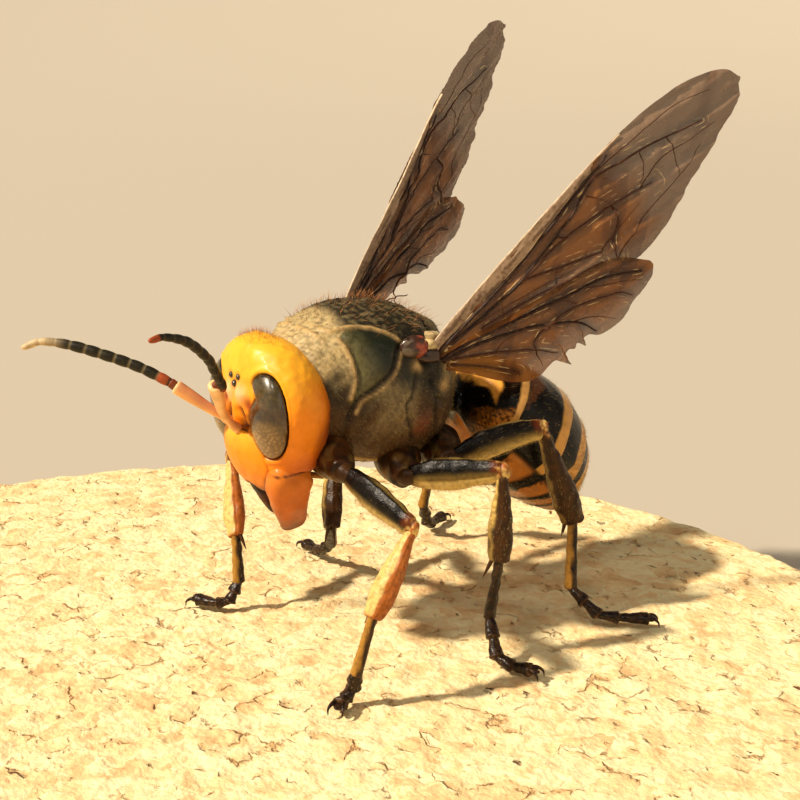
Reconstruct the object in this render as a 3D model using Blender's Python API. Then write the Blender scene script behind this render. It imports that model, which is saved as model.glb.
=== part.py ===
"""Asian giant hornet worker, a dried specimen on a round disc of pressed cork, life size.

The hornet faces -Y with its left side towards +X and stands on the disc's top face. The origin is the
centre of the disc's underside. Sizes and places are millimetres, which add_node turns into metres.
"""
import math

import bmesh
import bpy
import numpy as np

MM = 0.001
GAP = 0.3
LEAST_REACH = 0.05

# Cork disc
DISC_RADIUS = 45.0
DISC_THICKNESS = 5.0
DISC_WORN_EDGE = 0.5
DISC_SIDES = 72

# Where the body stands: x of its plane of symmetry, then the middle and nose-up angle of each part
MIDLINE = -2.0
THORAX_MIDDLE = (MIDLINE, 13.0, 21.2)
THORAX_PITCH = math.radians(5)
HEAD_MIDDLE = (MIDLINE, 6.24, 19.6)
HEAD_PITCH = math.radians(-3.5)

# Thorax sections from front to back: place along it, half width, height above and depth below its axis
THORAX_SECTIONS = (
    (-6.9, 0.8, 0.5, 1.0),
    (-6.4, 2.4, 2.1, 3.0),
    (-5.4, 3.5, 3.4, 3.9),
    (-2.8, 4.5, 4.8, 4.7),
    (0.0, 4.85, 5.1, 5.2),
    (2.6, 4.7, 4.6, 5.1),
    (4.7, 4.1, 3.4, 4.6),
    (6.2, 2.9, 1.3, 3.8),
    (6.9, 1.4, -0.6, 2.6),
)
THORAX_LENGTH = 13.8
THORAX_SIDES = 28
THORAX_POWER = 2.25

# Planes that part the thorax, each by three points (across, back, up) in its frame: the collar on the
# left side, the back of the mesoscutum and the waist. The shoulder plane lies level at a height.
COLLAR_PLANE = ((0.0, -4.9, 5.0), (4.2, 0.4, 2.4), (3.2, -3.0, -3.5))
SCUTUM_END_PLANE = ((0.0, 3.0, 4.4), (1.0, 3.0, 4.4), (0.0, 3.15, 3.4))
WAIST_PLANE = ((0.0, 4.9, 3.4), (1.0, 4.9, 3.4), (0.0, 3.2, -5.0))
SHOULDER_HEIGHT = 2.3
TEGULA_MIDDLE = (4.5, 0.6, 2.6)
TEGULA_RADII = (0.85, 1.15, 0.8)

# Head sections from the mandibles up: place, half width, reach forward and reach back
HEAD_SECTIONS = (
    (-4.4, 1.0, 1.3, 0.3),
    (-3.8, 1.8, 1.65, 1.0),
    (-3.2, 2.7, 1.9, 1.6),
    (-2.7, 3.6, 2.05, 2.3),
    (-2.0, 4.0, 2.1, 2.6),
    (-0.8, 4.5, 2.2, 3.0),
    (1.2, 4.75, 2.2, 3.3),
    (3.0, 4.25, 2.1, 2.8),
    (4.2, 3.3, 1.8, 1.9),
    (4.9, 2.2, 1.4, 1.1),
    (5.3, 0.9, 0.8, 0.2),
)
HEAD_LENGTH = 9.7
HEAD_SIDES = 26
HEAD_POWER = 2.2

# Eyes: kidney outline seen along the eye's own direction, that angle being from the side to the front
EYE_FACING = math.radians(33)
EYE_MIDDLE = (-0.26, 1.0)
EYE_HALF_WIDTH = 1.2
EYE_HALF_HEIGHT = 2.5
EYE_SIDES = 18
EYE_START = 2.0
EYE_END = 7.0
NOTCH_ANGLE = 0.34
NOTCH_SPREAD = 0.25
NOTCH_DEPTH = 0.48
EYE_BULGE = 0.35
INSET_DEPTH = 0.6

# Clypeus, the shield over the mouth: corners across and up the face, and how far it stands out
CLYPEUS_OUTLINE = ((1.5, -0.2), (-1.5, -0.2), (-2.4, -1.2), (-2.6, -2.2), (-2.3, -2.9), (-1.7, -3.6),
                   (-1.0, -4.2), (0.0, -3.6), (1.0, -4.2), (1.7, -3.6), (2.3, -2.9), (2.6, -2.2),
                   (2.4, -1.2))
CLYPEUS_BULGE = 0.3
CLYPEUS_END = -5.0

# Mandibles: places (across, back, up) in the head's frame, with half width and half thickness
MANDIBLE_LINE = ((2.8, 0.0, -2.4), (2.8, -0.1, -3.3), (2.3, 0.0, -4.8), (1.5, 0.3, -6.3))
MANDIBLE_HALF_SIZES = ((0.8, 1.4), (0.85, 1.45), (0.75, 1.2), (0.5, 0.85))
MOUTHPARTS_LINE = ((0.0, 1.0, -2.6), (0.0, 0.9, -3.8), (0.0, 0.6, -5.0))
MOUTHPARTS_RADII = (1.1, 0.9, 0.5)

# Antennae: places in space of the scape and of the curved flagellum, from the face to the tip
SCAPE_LINES = {
    "L": ((-1.2, 4.3, 19.5), (-1.2, 3.4, 19.8), (-0.4, 1.6, 22.4)),
    "R": ((-2.9, 4.3, 19.5), (-3.0, 3.5, 19.8), (-4.6, 1.45, 21.65)),
}
FLAGELLUM_LINES = {
    "L": ((0.0, 2.2, 22.2), (0.9, 1.3, 23.7), (1.5, 0.6, 24.6), (2.3, -0.9, 25.8), (3.1, -2.6, 26.4),
          (3.5, -3.5, 26.4)),
    "R": ((-4.8, 1.2, 21.9), (-6.0, -0.3, 22.85), (-7.2, -2.0, 23.6), (-8.4, -3.7, 24.2), (-9.3, -5.05, 24.4),
          (-9.8, -5.9, 24.1)),
}
SCAPE_RADII = (0.28, 0.26, 0.4)
FLAGELLUM_RADIUS = 0.35
FLAGELLUM_JOINTS = 10

# Gaster: its axis from the waist to the sting as (y, z), and (share of length, half width, half height)
GASTER_AXIS = ((19.6, 18.9), (22.5, 18.1), (25.2, 16.2), (27.6, 13.5), (30.0, 9.5))
GASTER_SECTIONS = (
    (0.0, 0.8, 0.8),
    (0.05, 0.85, 0.85),
    (0.09, 2.3, 2.0),
    (0.14, 3.5, 3.0),
    (0.22, 4.1, 3.6),
    (0.38, 4.65, 4.05),
    (0.48, 4.7, 4.1),
    (0.62, 4.4, 3.8),
    (0.76, 3.6, 3.1),
    (0.88, 2.35, 2.05),
    (0.96, 1.2, 1.0),
    (1.0, 0.4, 0.35),
)
GASTER_DIVISIONS = (0.0, 0.235, 0.47, 0.62, 0.75, 0.87, 1.0)
GASTER_SIDES = 28
GASTER_POWER = 2.1

# Legs: places in space of the root, trochanter, knee and ankle, then of the tarsus: the end of its long
# first joint, that of the third, that of the fourth, and where the claws begin
LEG_JOINTS = {
    "fore_L": ((-0.1, 9.0, 17.8), (3.1, 8.3, 17.2), (9.0, 9.3, 15.1), (9.3, 6.4, 10.6), (8.8, 5.6, 7.2),
               (8.3, 5.7, 6.3), (8.3, 5.2, 5.8), (8.8, 4.5, 5.8)),
    "fore_R": ((-3.9, 9.2, 17.8), (-6.2, 9.6, 16.4), (-11.6, 8.4, 14.4), (-8.0, 6.8, 10.2), (-7.8, 6.8, 7.0),
               (-7.7, 6.0, 6.0), (-8.2, 5.4, 5.8), (-9.5, 4.6, 5.8)),
    "mid_L": ((0.3, 14.0, 16.6), (2.6, 13.0, 15.9), (8.0, 16.5, 17.0), (8.1, 16.3, 11.5), (7.6, 16.0, 7.7),
              (9.4, 15.2, 6.1), (10.3, 15.6, 5.8), (11.4, 16.1, 5.8)),
    "mid_R": ((-4.3, 14.0, 16.6), (-6.6, 13.0, 15.9), (-10.8, 16.2, 14.6), (-8.3, 14.4, 9.2),
              (-10.7, 15.8, 6.9), (-12.4, 15.9, 6.1), (-13.2, 16.1, 5.8), (-14.8, 16.1, 5.8)),
    "hind_L": ((0.1, 17.4, 16.6), (3.0, 16.2, 16.4), (5.0, 22.0, 18.1), (5.2, 24.7, 11.6), (5.9, 24.1, 7.2),
               (7.8, 24.8, 6.0), (8.6, 25.8, 5.8), (9.8, 27.3, 5.8)),
    "hind_R": ((-4.1, 17.4, 16.6), (-7.0, 16.2, 16.4), (-8.5, 23.0, 18.2), (-10.6, 25.0, 12.6),
               (-11.8, 24.7, 7.9), (-12.8, 25.8, 6.3), (-13.4, 26.6, 5.8), (-14.3, 28.3, 5.8)),
}
COXA_RADII = (1.5, 1.35, 0.8)
FEMUR_RADII = {
    "fore": (0.6, 1.15, 1.05, 0.65),
    "mid": (0.6, 1.15, 1.0, 0.65),
    "hind": (0.6, 1.05, 0.95, 0.65),
}
FEMUR_BOW = {"fore": 0.0, "mid": 0.0, "hind": 0.3}
TIBIA_RADII = {
    "fore": (0.45, 0.6, 0.7, 0.6),
    "mid": (0.45, 0.6, 0.7, 0.6),
    "hind": (0.45, 0.65, 0.8, 0.65),
}
SPUR_RADII = (0.24, 0.2, 0.1)
SPUR_LENGTH = 1.2
TARSUS_RADII = (0.36, 0.42)
CLAW_LENGTH = 0.9
CLAW_RADIUS = 0.24

# Wings: root in space, the direction of the front edge and of the chord, then outlines in that plane
WING_FRAMES = {
    "L": ((2.3, 16.4, 24.1), (0.22, 0.66, 0.72), (0.24, 0.68, -0.695)),
    "R": ((-6.5, 14.5, 24.8), (-0.1, 0.56, 0.82), (-0.38, 0.74, -0.556)),
}
WING_THICKNESS = 0.5
VEIN_RADIUS = 0.44
WING_FOLD = 0.45
FOREWING_FRONT = ((-1.9, -0.4), (1.5, -0.2), (5.2, -0.3), (9.2, -0.5), (14.6, -0.5), (18.0, -0.4),
                  (21.5, 0.3), (24.0, 1.6))
FOREWING_OUTER = ((24.6, 2.8), (23.6, 3.8), (21.4, 4.4), (19.0, 4.9), (16.5, 5.5), (13.6, 6.1), (11.7, 5.8))
WING_SPLIT = ((10.7, 4.9), (7.1, 3.5), (2.9, 2.1), (0.0, 0.9), (-1.9, 0.5))
HINDWING_OUTER = ((12.4, 6.7), (12.2, 7.4), (10.3, 8.1), (8.3, 8.3), (6.8, 7.5), (5.3, 6.8), (4.2, 6.9),
                  (2.6, 6.1), (1.2, 4.7), (0.4, 2.7), (-1.4, 1.9))
FOREWING_VEINS = (
    ((-0.6, 0.0), (5.2, 0.15), (9.2, -0.05), (14.6, -0.05), (19.0, 0.2), (22.6, 1.5)),
    ((0.6, 0.45), (5.7, 1.2), (9.5, 1.0), (13.6, 0.25)),
    ((5.6, 1.2), (8.0, 2.5), (10.3, 4.0)),
    ((6.1, 1.2), (9.3, 1.3), (13.0, 2.3), (16.0, 3.4)),
    ((13.0, 2.3), (12.5, 3.0), (11.5, 3.7), (11.0, 4.4)),
    ((13.8, 0.2), (16.6, 1.4), (18.8, 2.5)),
    ((15.3, 2.8), (18.7, 3.2)),
)
HINDWING_VEINS = (
    ((0.6, 2.3), (2.3, 3.2), (4.8, 4.6), (7.0, 7.0)),
    ((2.8, 3.4), (5.0, 3.9), (7.2, 4.7), (9.1, 5.8), (11.6, 7.0)),
    ((4.8, 4.5), (7.6, 5.2), (9.8, 7.2)),
    ((0.4, 2.2), (2.4, 3.9), (4.2, 5.6)),
)

# Colours and roughness of the finishes
FINISHES = {
    "cork": ("D9B88A", 0.9),
    "head": ("E8891E", 0.4),
    "eye": ("3B2E17", 0.2),
    "amber": ("C96A24", 0.4),
    "dark": ("2A2718", 0.45),
    "shell": ("3D3C24", 0.45),
    "band": ("C8812C", 0.4),
    "wing": ("7A5530", 0.4),
}


def curve_through(points, steps):
    """Points of a smooth curve through the given rows, with a number of steps for each span."""
    points = np.asarray(points, float)
    rows = np.vstack([2 * points[0] - points[1], points, 2 * points[-1] - points[-2]])
    share = (np.arange(steps) / steps)[:, None]
    spans = []
    for before, start, end, after in zip(rows, rows[1:], rows[2:], rows[3:]):
        bend = 2 * before - 5 * start + 4 * end - after
        twist = 3 * start - before - 3 * end + after
        spans.append(start + 0.5 * ((end - before) * share + bend * share**2 + twist * share**3))
    return np.vstack(spans + [points[-1:]])


def unit(vectors):
    """The vectors at length one."""
    vectors = np.asarray(vectors, float)
    return vectors / np.linalg.norm(vectors, axis=-1, keepdims=True)


def section(half_width, above, below, sides, power):
    """Across and up values of a superellipse that reaches differently above and below its middle."""
    half_width, above, below = (max(reach, LEAST_REACH) for reach in (half_width, above, below))
    turn = 2 * math.pi * np.arange(sides) / sides
    across, up = np.cos(turn), np.sin(turn)
    reach = np.where(up > 0, above, below)
    return (half_width * np.sign(across) * np.abs(across) ** (2 / power),
            reach * np.sign(up) * np.abs(up) ** (2 / power))


def tilted_frame(middle, pitch):
    """A function that turns (across, back, up) in a part's own frame into places in space."""
    middle = np.array(middle)
    back = np.array((0, math.cos(pitch), -math.sin(pitch)))
    up = np.array((0, math.sin(pitch), math.cos(pitch)))

    def place(x, y, z):
        x, y, z = np.broadcast_arrays(x, y, z)
        return middle + x[..., None] * np.array((1, 0, 0)) + y[..., None] * back + z[..., None] * up

    return place


in_thorax = tilted_frame(THORAX_MIDDLE, THORAX_PITCH)
in_head = tilted_frame(HEAD_MIDDLE, HEAD_PITCH)


def skin(rings, start=None, end=None):
    """A closed mesh through equal rings, each end drawn to a point or, where none is given, flat."""
    mesh = bmesh.new()
    loops = [[mesh.verts.new(point) for point in ring] for ring in rings]
    for lower, upper in zip(loops, loops[1:]):
        for index in range(len(lower)):
            mesh.faces.new((lower[index - 1], lower[index], upper[index], upper[index - 1]))
    for loop, tip in ((loops[0], start), (loops[-1], end)):
        if tip is None:
            mesh.faces.new(loop)
            continue
        point = mesh.verts.new(tip)
        for index in range(len(loop)):
            mesh.faces.new((loop[index - 1], loop[index], point))
    bmesh.ops.triangulate(mesh, faces=mesh.faces)
    bmesh.ops.recalc_face_normals(mesh, faces=mesh.faces)
    return mesh


def tube(points, radii, sides=8, facing=(0.0, 0.0, 1.0), rounded=True):
    """A tube with closed ends along the points. A radius may be a pair, across and towards facing."""
    points = np.asarray(points, float)
    radii = np.array([radius if np.ndim(radius) else (radius, radius) for radius in radii], float)
    steps = unit(np.diff(points, axis=0))
    along = unit(np.vstack([steps[:1], steps[:-1] + steps[1:], steps[-1:]]))
    across = unit(np.cross(along, np.array(facing)))
    towards = np.cross(across, along)
    turn = 2 * math.pi * np.arange(sides) / sides

    def ring(index, shift, scale):
        middle = points[index] + along[index] * shift * radii[index].min()
        wide, thick = radii[index] * scale
        return (middle + wide * np.cos(turn)[:, None] * across[index]
                + thick * np.sin(turn)[:, None] * towards[index])

    last = len(points) - 1
    rings = [ring(index, 0.0, 1.0) for index in range(last + 1)]
    if rounded:
        rings = [ring(0, -0.6, 0.8), *rings, ring(last, 0.6, 0.8)]
    start = points[0] - along[0] * radii[0].min()
    end = points[last] + along[last] * radii[last].min()
    return skin(rings, start, end)


def ball(middle, radii, sides=12):
    """An ellipsoid with its own radius along each axis."""
    mesh = bmesh.new()
    bmesh.ops.create_uvsphere(mesh, u_segments=sides, v_segments=sides // 2, radius=1.0)
    for vertex in mesh.verts:
        vertex.co = [centre + radius * value for centre, radius, value in zip(middle, radii, vertex.co)]
    bmesh.ops.triangulate(mesh, faces=mesh.faces)
    return mesh


def slab(outline, thickness, place):
    """A flat outline given thickness. Place turns its two values and a height into a place in space."""
    outline = np.asarray(outline, float)
    faces = [place(outline[:, 0], outline[:, 1], height) for height in (-thickness / 2, thickness / 2)]
    return skin(faces)


def scratch_object(mesh, collection):
    """An object for a Boolean step, from a mesh that is used up."""
    data = bpy.data.meshes.new("scratch")
    mesh.to_mesh(data)
    mesh.free()
    thing = bpy.data.objects.new("scratch", data)
    collection.objects.link(thing)
    return thing


def largest_body(mesh):
    """The mesh with only its closed surface of greatest volume."""
    left = set(mesh.verts)
    bodies = []
    while left:
        body = {left.pop()}
        edge = list(body)
        while edge:
            near = [other.other_vert(vertex) for vertex in edge for other in vertex.link_edges]
            edge = [vertex for vertex in set(near) if vertex not in body]
            body.update(edge)
        left -= body
        faces = {face for vertex in body for face in vertex.link_faces}
        volume = sum(face.calc_center_median().dot(face.normal) * face.calc_area() for face in faces)
        bodies.append((volume, body))
    bodies.sort(key=lambda entry: entry[0])
    for _, body in bodies[:-1]:
        bmesh.ops.delete(mesh, geom=list(body), context="VERTS")
    return mesh


def combine(mesh, others, operation, solver="EXACT"):
    """The mesh joined to the others or cut by them, as one closed triangulated surface."""
    group = bpy.data.collections.new("others")
    bpy.context.scene.collection.children.link(group)
    target = scratch_object(mesh, bpy.context.scene.collection)
    for other in others:
        scratch_object(other, group)
    modifier = target.modifiers.new("combine", "BOOLEAN")
    modifier.operation = operation
    modifier.operand_type = "COLLECTION"
    modifier.collection = group
    modifier.solver = solver
    evaluated = target.evaluated_get(bpy.context.evaluated_depsgraph_get())
    result = bmesh.new()
    result.from_mesh(evaluated.to_mesh())
    evaluated.to_mesh_clear()
    for thing in [target, *group.objects]:
        bpy.data.objects.remove(thing)
    bpy.data.collections.remove(group)
    bmesh.ops.triangulate(result, faces=result.faces)
    result.normal_update()
    return largest_body(result)


def cut_off(mesh, point, normal):
    """The mesh without what lies on the normal's side of a plane, closed by a flat face."""
    geometry = mesh.verts[:] + mesh.edges[:] + mesh.faces[:]
    cut = bmesh.ops.bisect_plane(mesh, geom=geometry, plane_co=point, plane_no=normal, clear_outer=True)
    edges = [item for item in cut["geom_cut"] if isinstance(item, bmesh.types.BMEdge)]
    filled = bmesh.ops.edgeloop_fill(mesh, edges=edges)
    bmesh.ops.triangulate(mesh, faces=filled["faces"])
    bmesh.ops.recalc_face_normals(mesh, faces=mesh.faces)
    return mesh


def add_node(name, mesh, finish):
    """A named object with its own material, from a mesh in millimetres."""
    bmesh.ops.scale(mesh, vec=(MM, MM, MM), verts=mesh.verts)
    data = bpy.data.meshes.new(name)
    mesh.to_mesh(data)
    mesh.free()
    data.shade_smooth()
    data.set_sharp_from_angle(angle=math.radians(35))
    material = bpy.data.materials.new(name + "_finish")
    material.use_nodes = True
    surface = material.node_tree.nodes["Principled BSDF"]
    colour, roughness = FINISHES[finish]
    encoded = [int(colour[start:start + 2], 16) / 255 for start in (0, 2, 4)]
    linear = [(value / 12.92) if value <= 0.04045 else ((value + 0.055) / 1.055) ** 2.4 for value in encoded]
    surface.inputs["Base Color"].default_value = (*linear, 1.0)
    surface.inputs["Roughness"].default_value = roughness
    surface.inputs["Metallic"].default_value = 0.0
    data.materials.append(material)
    thing = bpy.data.objects.new(name, data)
    bpy.context.scene.collection.objects.link(thing)
    return thing


def thorax_shape(grow=0.0):
    """The whole thorax as one smooth body, larger all round by the given amount."""
    stretch = 1 + 2 * grow / THORAX_LENGTH
    rings = []
    for along, half_width, above, below in curve_through(THORAX_SECTIONS, 2):
        across, up = section(half_width + grow, above + grow, below + grow, THORAX_SIDES, THORAX_POWER)
        rings.append(in_thorax(across, along * stretch, up))
    return skin(rings)


def head_shape(grow=0.0):
    """The whole head as one smooth body, larger all round by the given amount."""
    stretch = 1 + 2 * grow / HEAD_LENGTH
    rings = []
    for along, half_width, front, back in curve_through(HEAD_SECTIONS, 1):
        across, rearward = section(half_width + grow, back + grow, front + grow, HEAD_SIDES, HEAD_POWER)
        rings.append(in_head(across, rearward, along * stretch))
    return skin(rings)


def grown_outline(outline, grow):
    """The outline moved outward all round. Its points run anticlockwise."""
    ahead = unit(np.roll(outline, -1, axis=0) - np.roll(outline, 1, axis=0))
    return outline + grow * np.stack([ahead[:, 1], -ahead[:, 0]], axis=1)


def eye_prism(side, grow):
    """A bar with the eye's kidney outline that runs out through the side of the head."""
    turn = 2 * math.pi * np.arange(EYE_SIDES) / EYE_SIDES
    notch = 1 - NOTCH_DEPTH * np.exp(-((turn - NOTCH_ANGLE) / NOTCH_SPREAD) ** 2)
    across, above = section(EYE_HALF_WIDTH, EYE_HALF_HEIGHT, EYE_HALF_HEIGHT, EYE_SIDES, HEAD_POWER)
    outline = np.stack([EYE_MIDDLE[0] + across * notch, EYE_MIDDLE[1] + above], axis=1)
    forward, up = grown_outline(outline, grow).T
    rings = []
    for outward in (EYE_START - grow, EYE_END):
        across = outward * math.cos(EYE_FACING) - forward * math.sin(EYE_FACING)
        rearward = -outward * math.sin(EYE_FACING) - forward * math.cos(EYE_FACING)
        rings.append(in_head(side * across, rearward, up))
    return skin(rings)


def clypeus_prism(grow):
    """A bar with the clypeus's outline that runs out through the front of the head."""
    outline = grown_outline(np.array(CLYPEUS_OUTLINE), grow)
    return skin([in_head(outline[:, 0], rearward, outline[:, 1]) for rearward in (grow, CLYPEUS_END)])


def add_head():
    """The head with its sunk seats, and the eyes, clypeus, mandibles and mouthparts set on it."""
    prisms = [eye_prism(1, GAP), eye_prism(-1, GAP), clypeus_prism(GAP)]
    seats = [combine(prism, [head_shape(-INSET_DEPTH - GAP)], "DIFFERENCE") for prism in prisms]
    head = combine(head_shape(), seats + [thorax_shape(GAP)], "DIFFERENCE")
    add_node("head", head, "head")
    for name, side in (("L", 1), ("R", -1)):
        lens = combine(eye_prism(side, 0.0), [head_shape(EYE_BULGE)], "INTERSECT")
        add_node("eye_" + name, combine(lens, [head_shape(-INSET_DEPTH)], "DIFFERENCE"), "eye")
    shield = combine(clypeus_prism(0.0), [head_shape(CLYPEUS_BULGE)], "INTERSECT")
    around = [head_shape(-INSET_DEPTH), eye_prism(1, GAP), eye_prism(-1, GAP)]
    add_node("clypeus", combine(shield, around, "DIFFERENCE"), "head")
    mouth = tube([in_head(*place) for place in MOUTHPARTS_LINE], MOUTHPARTS_RADII)
    add_node("mouthparts", combine(mouth, [head_shape(CLYPEUS_BULGE + GAP)], "DIFFERENCE"), "dark")
    for name, side in (("L", 1), ("R", -1)):
        line = [in_head(side * x, y, z) for x, y, z in curve_through(MANDIBLE_LINE, 2)]
        sizes = curve_through(MANDIBLE_HALF_SIZES, 2)
        jaw = tube(line, sizes, sides=12, facing=in_head(0, 1, 0) - in_head(0, 0, 0))
        add_node("mandible_" + name, combine(jaw, [head_shape(CLYPEUS_BULGE + GAP)], "DIFFERENCE"), "amber")


def add_antennae():
    """Each antenna's scape and its flagellum of ringed joints."""
    for side, line in SCAPE_LINES.items():
        scape = tube(line, SCAPE_RADII, sides=8)
        add_node("scape_" + side, combine(scape, [head_shape(CLYPEUS_BULGE + GAP)], "DIFFERENCE"), "amber")
        path = curve_through(FLAGELLUM_LINES[side], 8)
        walked = np.concatenate([[0], np.cumsum(np.linalg.norm(np.diff(path, axis=0), axis=1))])
        points, radii = [], []
        for joint in range(FLAGELLUM_JOINTS):
            for share, scale in ((0.08, 0.86), (0.9, 1.0)):
                place = (joint + share) / FLAGELLUM_JOINTS * walked[-1]
                points.append([np.interp(place, walked, path[:, axis]) for axis in range(3)])
                taper = 1 - 0.35 * max(0.0, place / walked[-1] - 0.6) / 0.4
                radii.append(FLAGELLUM_RADIUS * scale * taper)
        flagellum = tube(points, radii, sides=7)
        add_node("flagellum_" + side, combine(flagellum, [tube(line, np.array(SCAPE_RADII) + GAP, sides=8)],
                                              "DIFFERENCE"), "dark")


def sloping_plane(points, along):
    """A plane's first point and its normal, turned to the given direction, from three points on it."""
    first, second, third = (in_thorax(*point) for point in points)
    normal = unit(np.cross(second - first, third - first))
    return first, normal if np.dot(normal, along) > 0 else -normal


def add_thorax():
    """The thorax parted into its plates by thin plane cuts, with the tegulae over the wing roots."""
    half = GAP / 2
    back = in_thorax(0.0, 1.0, 0.0) - in_thorax(0.0, 0.0, 0.0)
    up = in_thorax(0.0, 0.0, 1.0) - in_thorax(0.0, 0.0, 0.0)
    collars = []
    for side in (1, -1):
        corners = [(side * across, rearward, height) for across, rearward, height in COLLAR_PLANE]
        collars.append(sloping_plane(corners, back))
    scutum_end, scutum_slope = sloping_plane(SCUTUM_END_PLANE, back)
    waist, waist_slope = sloping_plane(WAIST_PLANE, back)
    shoulder = in_thorax(0.0, 0.0, SHOULDER_HEIGHT)

    def behind_collar():
        mesh = thorax_shape()
        for point, normal in collars:
            mesh = cut_off(mesh, point + normal * half, -normal)
        return mesh

    wedge = thorax_shape(2.0)
    for point, normal in collars:
        wedge = cut_off(wedge, point - normal * half, -normal)
    add_node("pronotum", combine(thorax_shape(), [wedge], "DIFFERENCE"), "shell")
    scutum = cut_off(behind_collar(), shoulder + up * half, -up)
    add_node("mesoscutum", cut_off(scutum, scutum_end - scutum_slope * half, scutum_slope), "shell")
    scutellum = cut_off(behind_collar(), shoulder + up * half, -up)
    scutellum = cut_off(scutellum, scutum_end + scutum_slope * half, -scutum_slope)
    add_node("scutellum", cut_off(scutellum, waist - waist_slope * half, waist_slope), "shell")
    flanks = cut_off(behind_collar(), shoulder - up * half, up)
    add_node("mesopleura", cut_off(flanks, waist - waist_slope * half, waist_slope), "shell")
    add_node("propodeum", cut_off(thorax_shape(), waist + waist_slope * half, -waist_slope), "shell")
    for name, side in (("L", 1), ("R", -1)):
        add_node("tegula_" + name, combine(tegula_shape(side), [thorax_shape(GAP)], "DIFFERENCE"), "amber")


def tegula_shape(side, grow=0.0):
    """The small rounded scale over a wing root."""
    across, rearward, height = TEGULA_MIDDLE
    return ball(in_thorax(side * across, rearward, height), [radius + grow for radius in TEGULA_RADII])


def gaster_axis():
    """Places and directions along the gaster's bent axis, with the share of its length at each."""
    path = np.array([(MIDLINE, y, z) for y, z in curve_through(GASTER_AXIS, 12)])
    lengths = np.linalg.norm(np.diff(path, axis=0), axis=1)
    share = np.concatenate([[0], np.cumsum(lengths)]) / lengths.sum()
    return path, share, lengths.sum()


def gaster_ring(share, shift=0.0):
    """One ring of the gaster, moved along its own axis by the shift."""
    path, shares, length = gaster_axis()
    middle = np.array([np.interp(share, shares, path[:, axis]) for axis in range(3)])
    ahead = np.array([np.interp(min(share + 0.02, 1.0), shares, path[:, axis]) for axis in range(3)])
    behind = np.array([np.interp(max(share - 0.02, 0.0), shares, path[:, axis]) for axis in range(3)])
    along = unit(ahead - behind)
    up = np.cross((1, 0, 0), along)
    sizes = curve_through(GASTER_SECTIONS, 4)
    place = share + shift / length
    half_width, half_height = (np.interp(place, sizes[:, 0], sizes[:, column]) for column in (1, 2))
    across, height = section(half_width, half_height, half_height, GASTER_SIDES, GASTER_POWER)
    return middle + along * shift + across[:, None] * np.array((1, 0, 0)) + height[:, None] * up


def add_gaster():
    """The six visible rings of the gaster, each its own body with a thin space to the next."""
    for index, (start, end) in enumerate(zip(GASTER_DIVISIONS, GASTER_DIVISIONS[1:])):
        first, last = index == 0, end == 1.0
        shares = np.linspace(start, end, 9 if first else 5)
        rings = [gaster_ring(start, 0.0 if first else GAP / 2)]
        rings += [gaster_ring(share) for share in shares[1:-1]]
        rings.append(gaster_ring(end, 0.0 if last else -GAP / 2))
        mesh = skin(rings)
        if first:
            mesh = combine(mesh, [thorax_shape(GAP)], "DIFFERENCE")
        add_node("gaster_%d" % (index + 1), mesh, "band" if first else "dark")


def limb(start, end, radii, bow=0.0):
    """Evenly spaced places from start to end, lifted in the middle by the bow, with their radii."""
    share = np.linspace(0.0, 1.0, len(radii))[:, None]
    lift = 4 * bow * share * (1 - share) * np.array((0.0, 0.0, 1.0))
    return np.array(start) * (1 - share) + np.array(end) * share + lift, np.array(radii)


def grown_tube(line, grow=0.0, sides=10):
    """The tube of a limb's line, thicker by the given amount."""
    points, radii = line
    return tube(points, radii + grow, sides)


def above_floor(points, radii):
    """The points lifted where needed, so that the tube keeps the gap to the disc."""
    points = np.array(points, float)
    points[:, 2] = np.maximum(points[:, 2], DISC_THICKNESS + GAP + np.array(radii) + 0.02)
    return points


def tarsus_line(ankle, heel, middle, toe, end):
    """Five joints of a tarsus, each narrow where it starts and wide where it ends."""
    joints = [ankle, heel, (heel + middle) / 2, middle, toe, end]
    narrow, wide = TARSUS_RADII
    points, radii = [], []
    for start, finish in zip(joints, joints[1:]):
        for share, radius in ((0.08, narrow), (0.6, (narrow + wide) / 2), (0.9, wide)):
            points.append(start + (finish - start) * share)
            radii.append(radius)
    return above_floor(points, radii), np.array(radii)


def claw(end, before, side):
    """One curved claw at the end of a tarsus."""
    ahead = unit(np.array(end) - np.array(before))
    across = unit(np.cross(ahead, (0, 0, 1))) * side
    radii = np.array((CLAW_RADIUS, CLAW_RADIUS * 0.85, CLAW_RADIUS * 0.55))
    points = [np.array(end) + CLAW_LENGTH * (forward * ahead + out * across) + (0, 0, lift)
              for forward, out, lift in ((-0.1, 0.1, 0.0), (0.45, 0.45, 0.1), (0.9, 0.5, -0.3))]
    return tube(above_floor(points, radii), radii, sides=5)


def spurs(name, knee, ankle, heel, grow=0.0):
    """The spines at the end of a tibia: one on a front leg's inner side, two on each other leg."""
    down = unit(ankle - knee)
    lean = unit(down + unit(heel - ankle))
    sideways = unit(np.cross(down, (0.0, -1.0, 0.0)))
    inward = np.array((-1.0 if name.endswith("L") else 1.0, 0.0, 0.0))
    result = []
    for out in ([inward] if name.startswith("fore") else [sideways, -sideways]):
        start = ankle - down * 0.2 + out * 0.3
        finish = start + lean * SPUR_LENGTH + out * 0.55
        radii = np.array(SPUR_RADII) + grow
        result.append(tube([start, (start + finish) / 2, finish], radii, sides=5))
    return result


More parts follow.
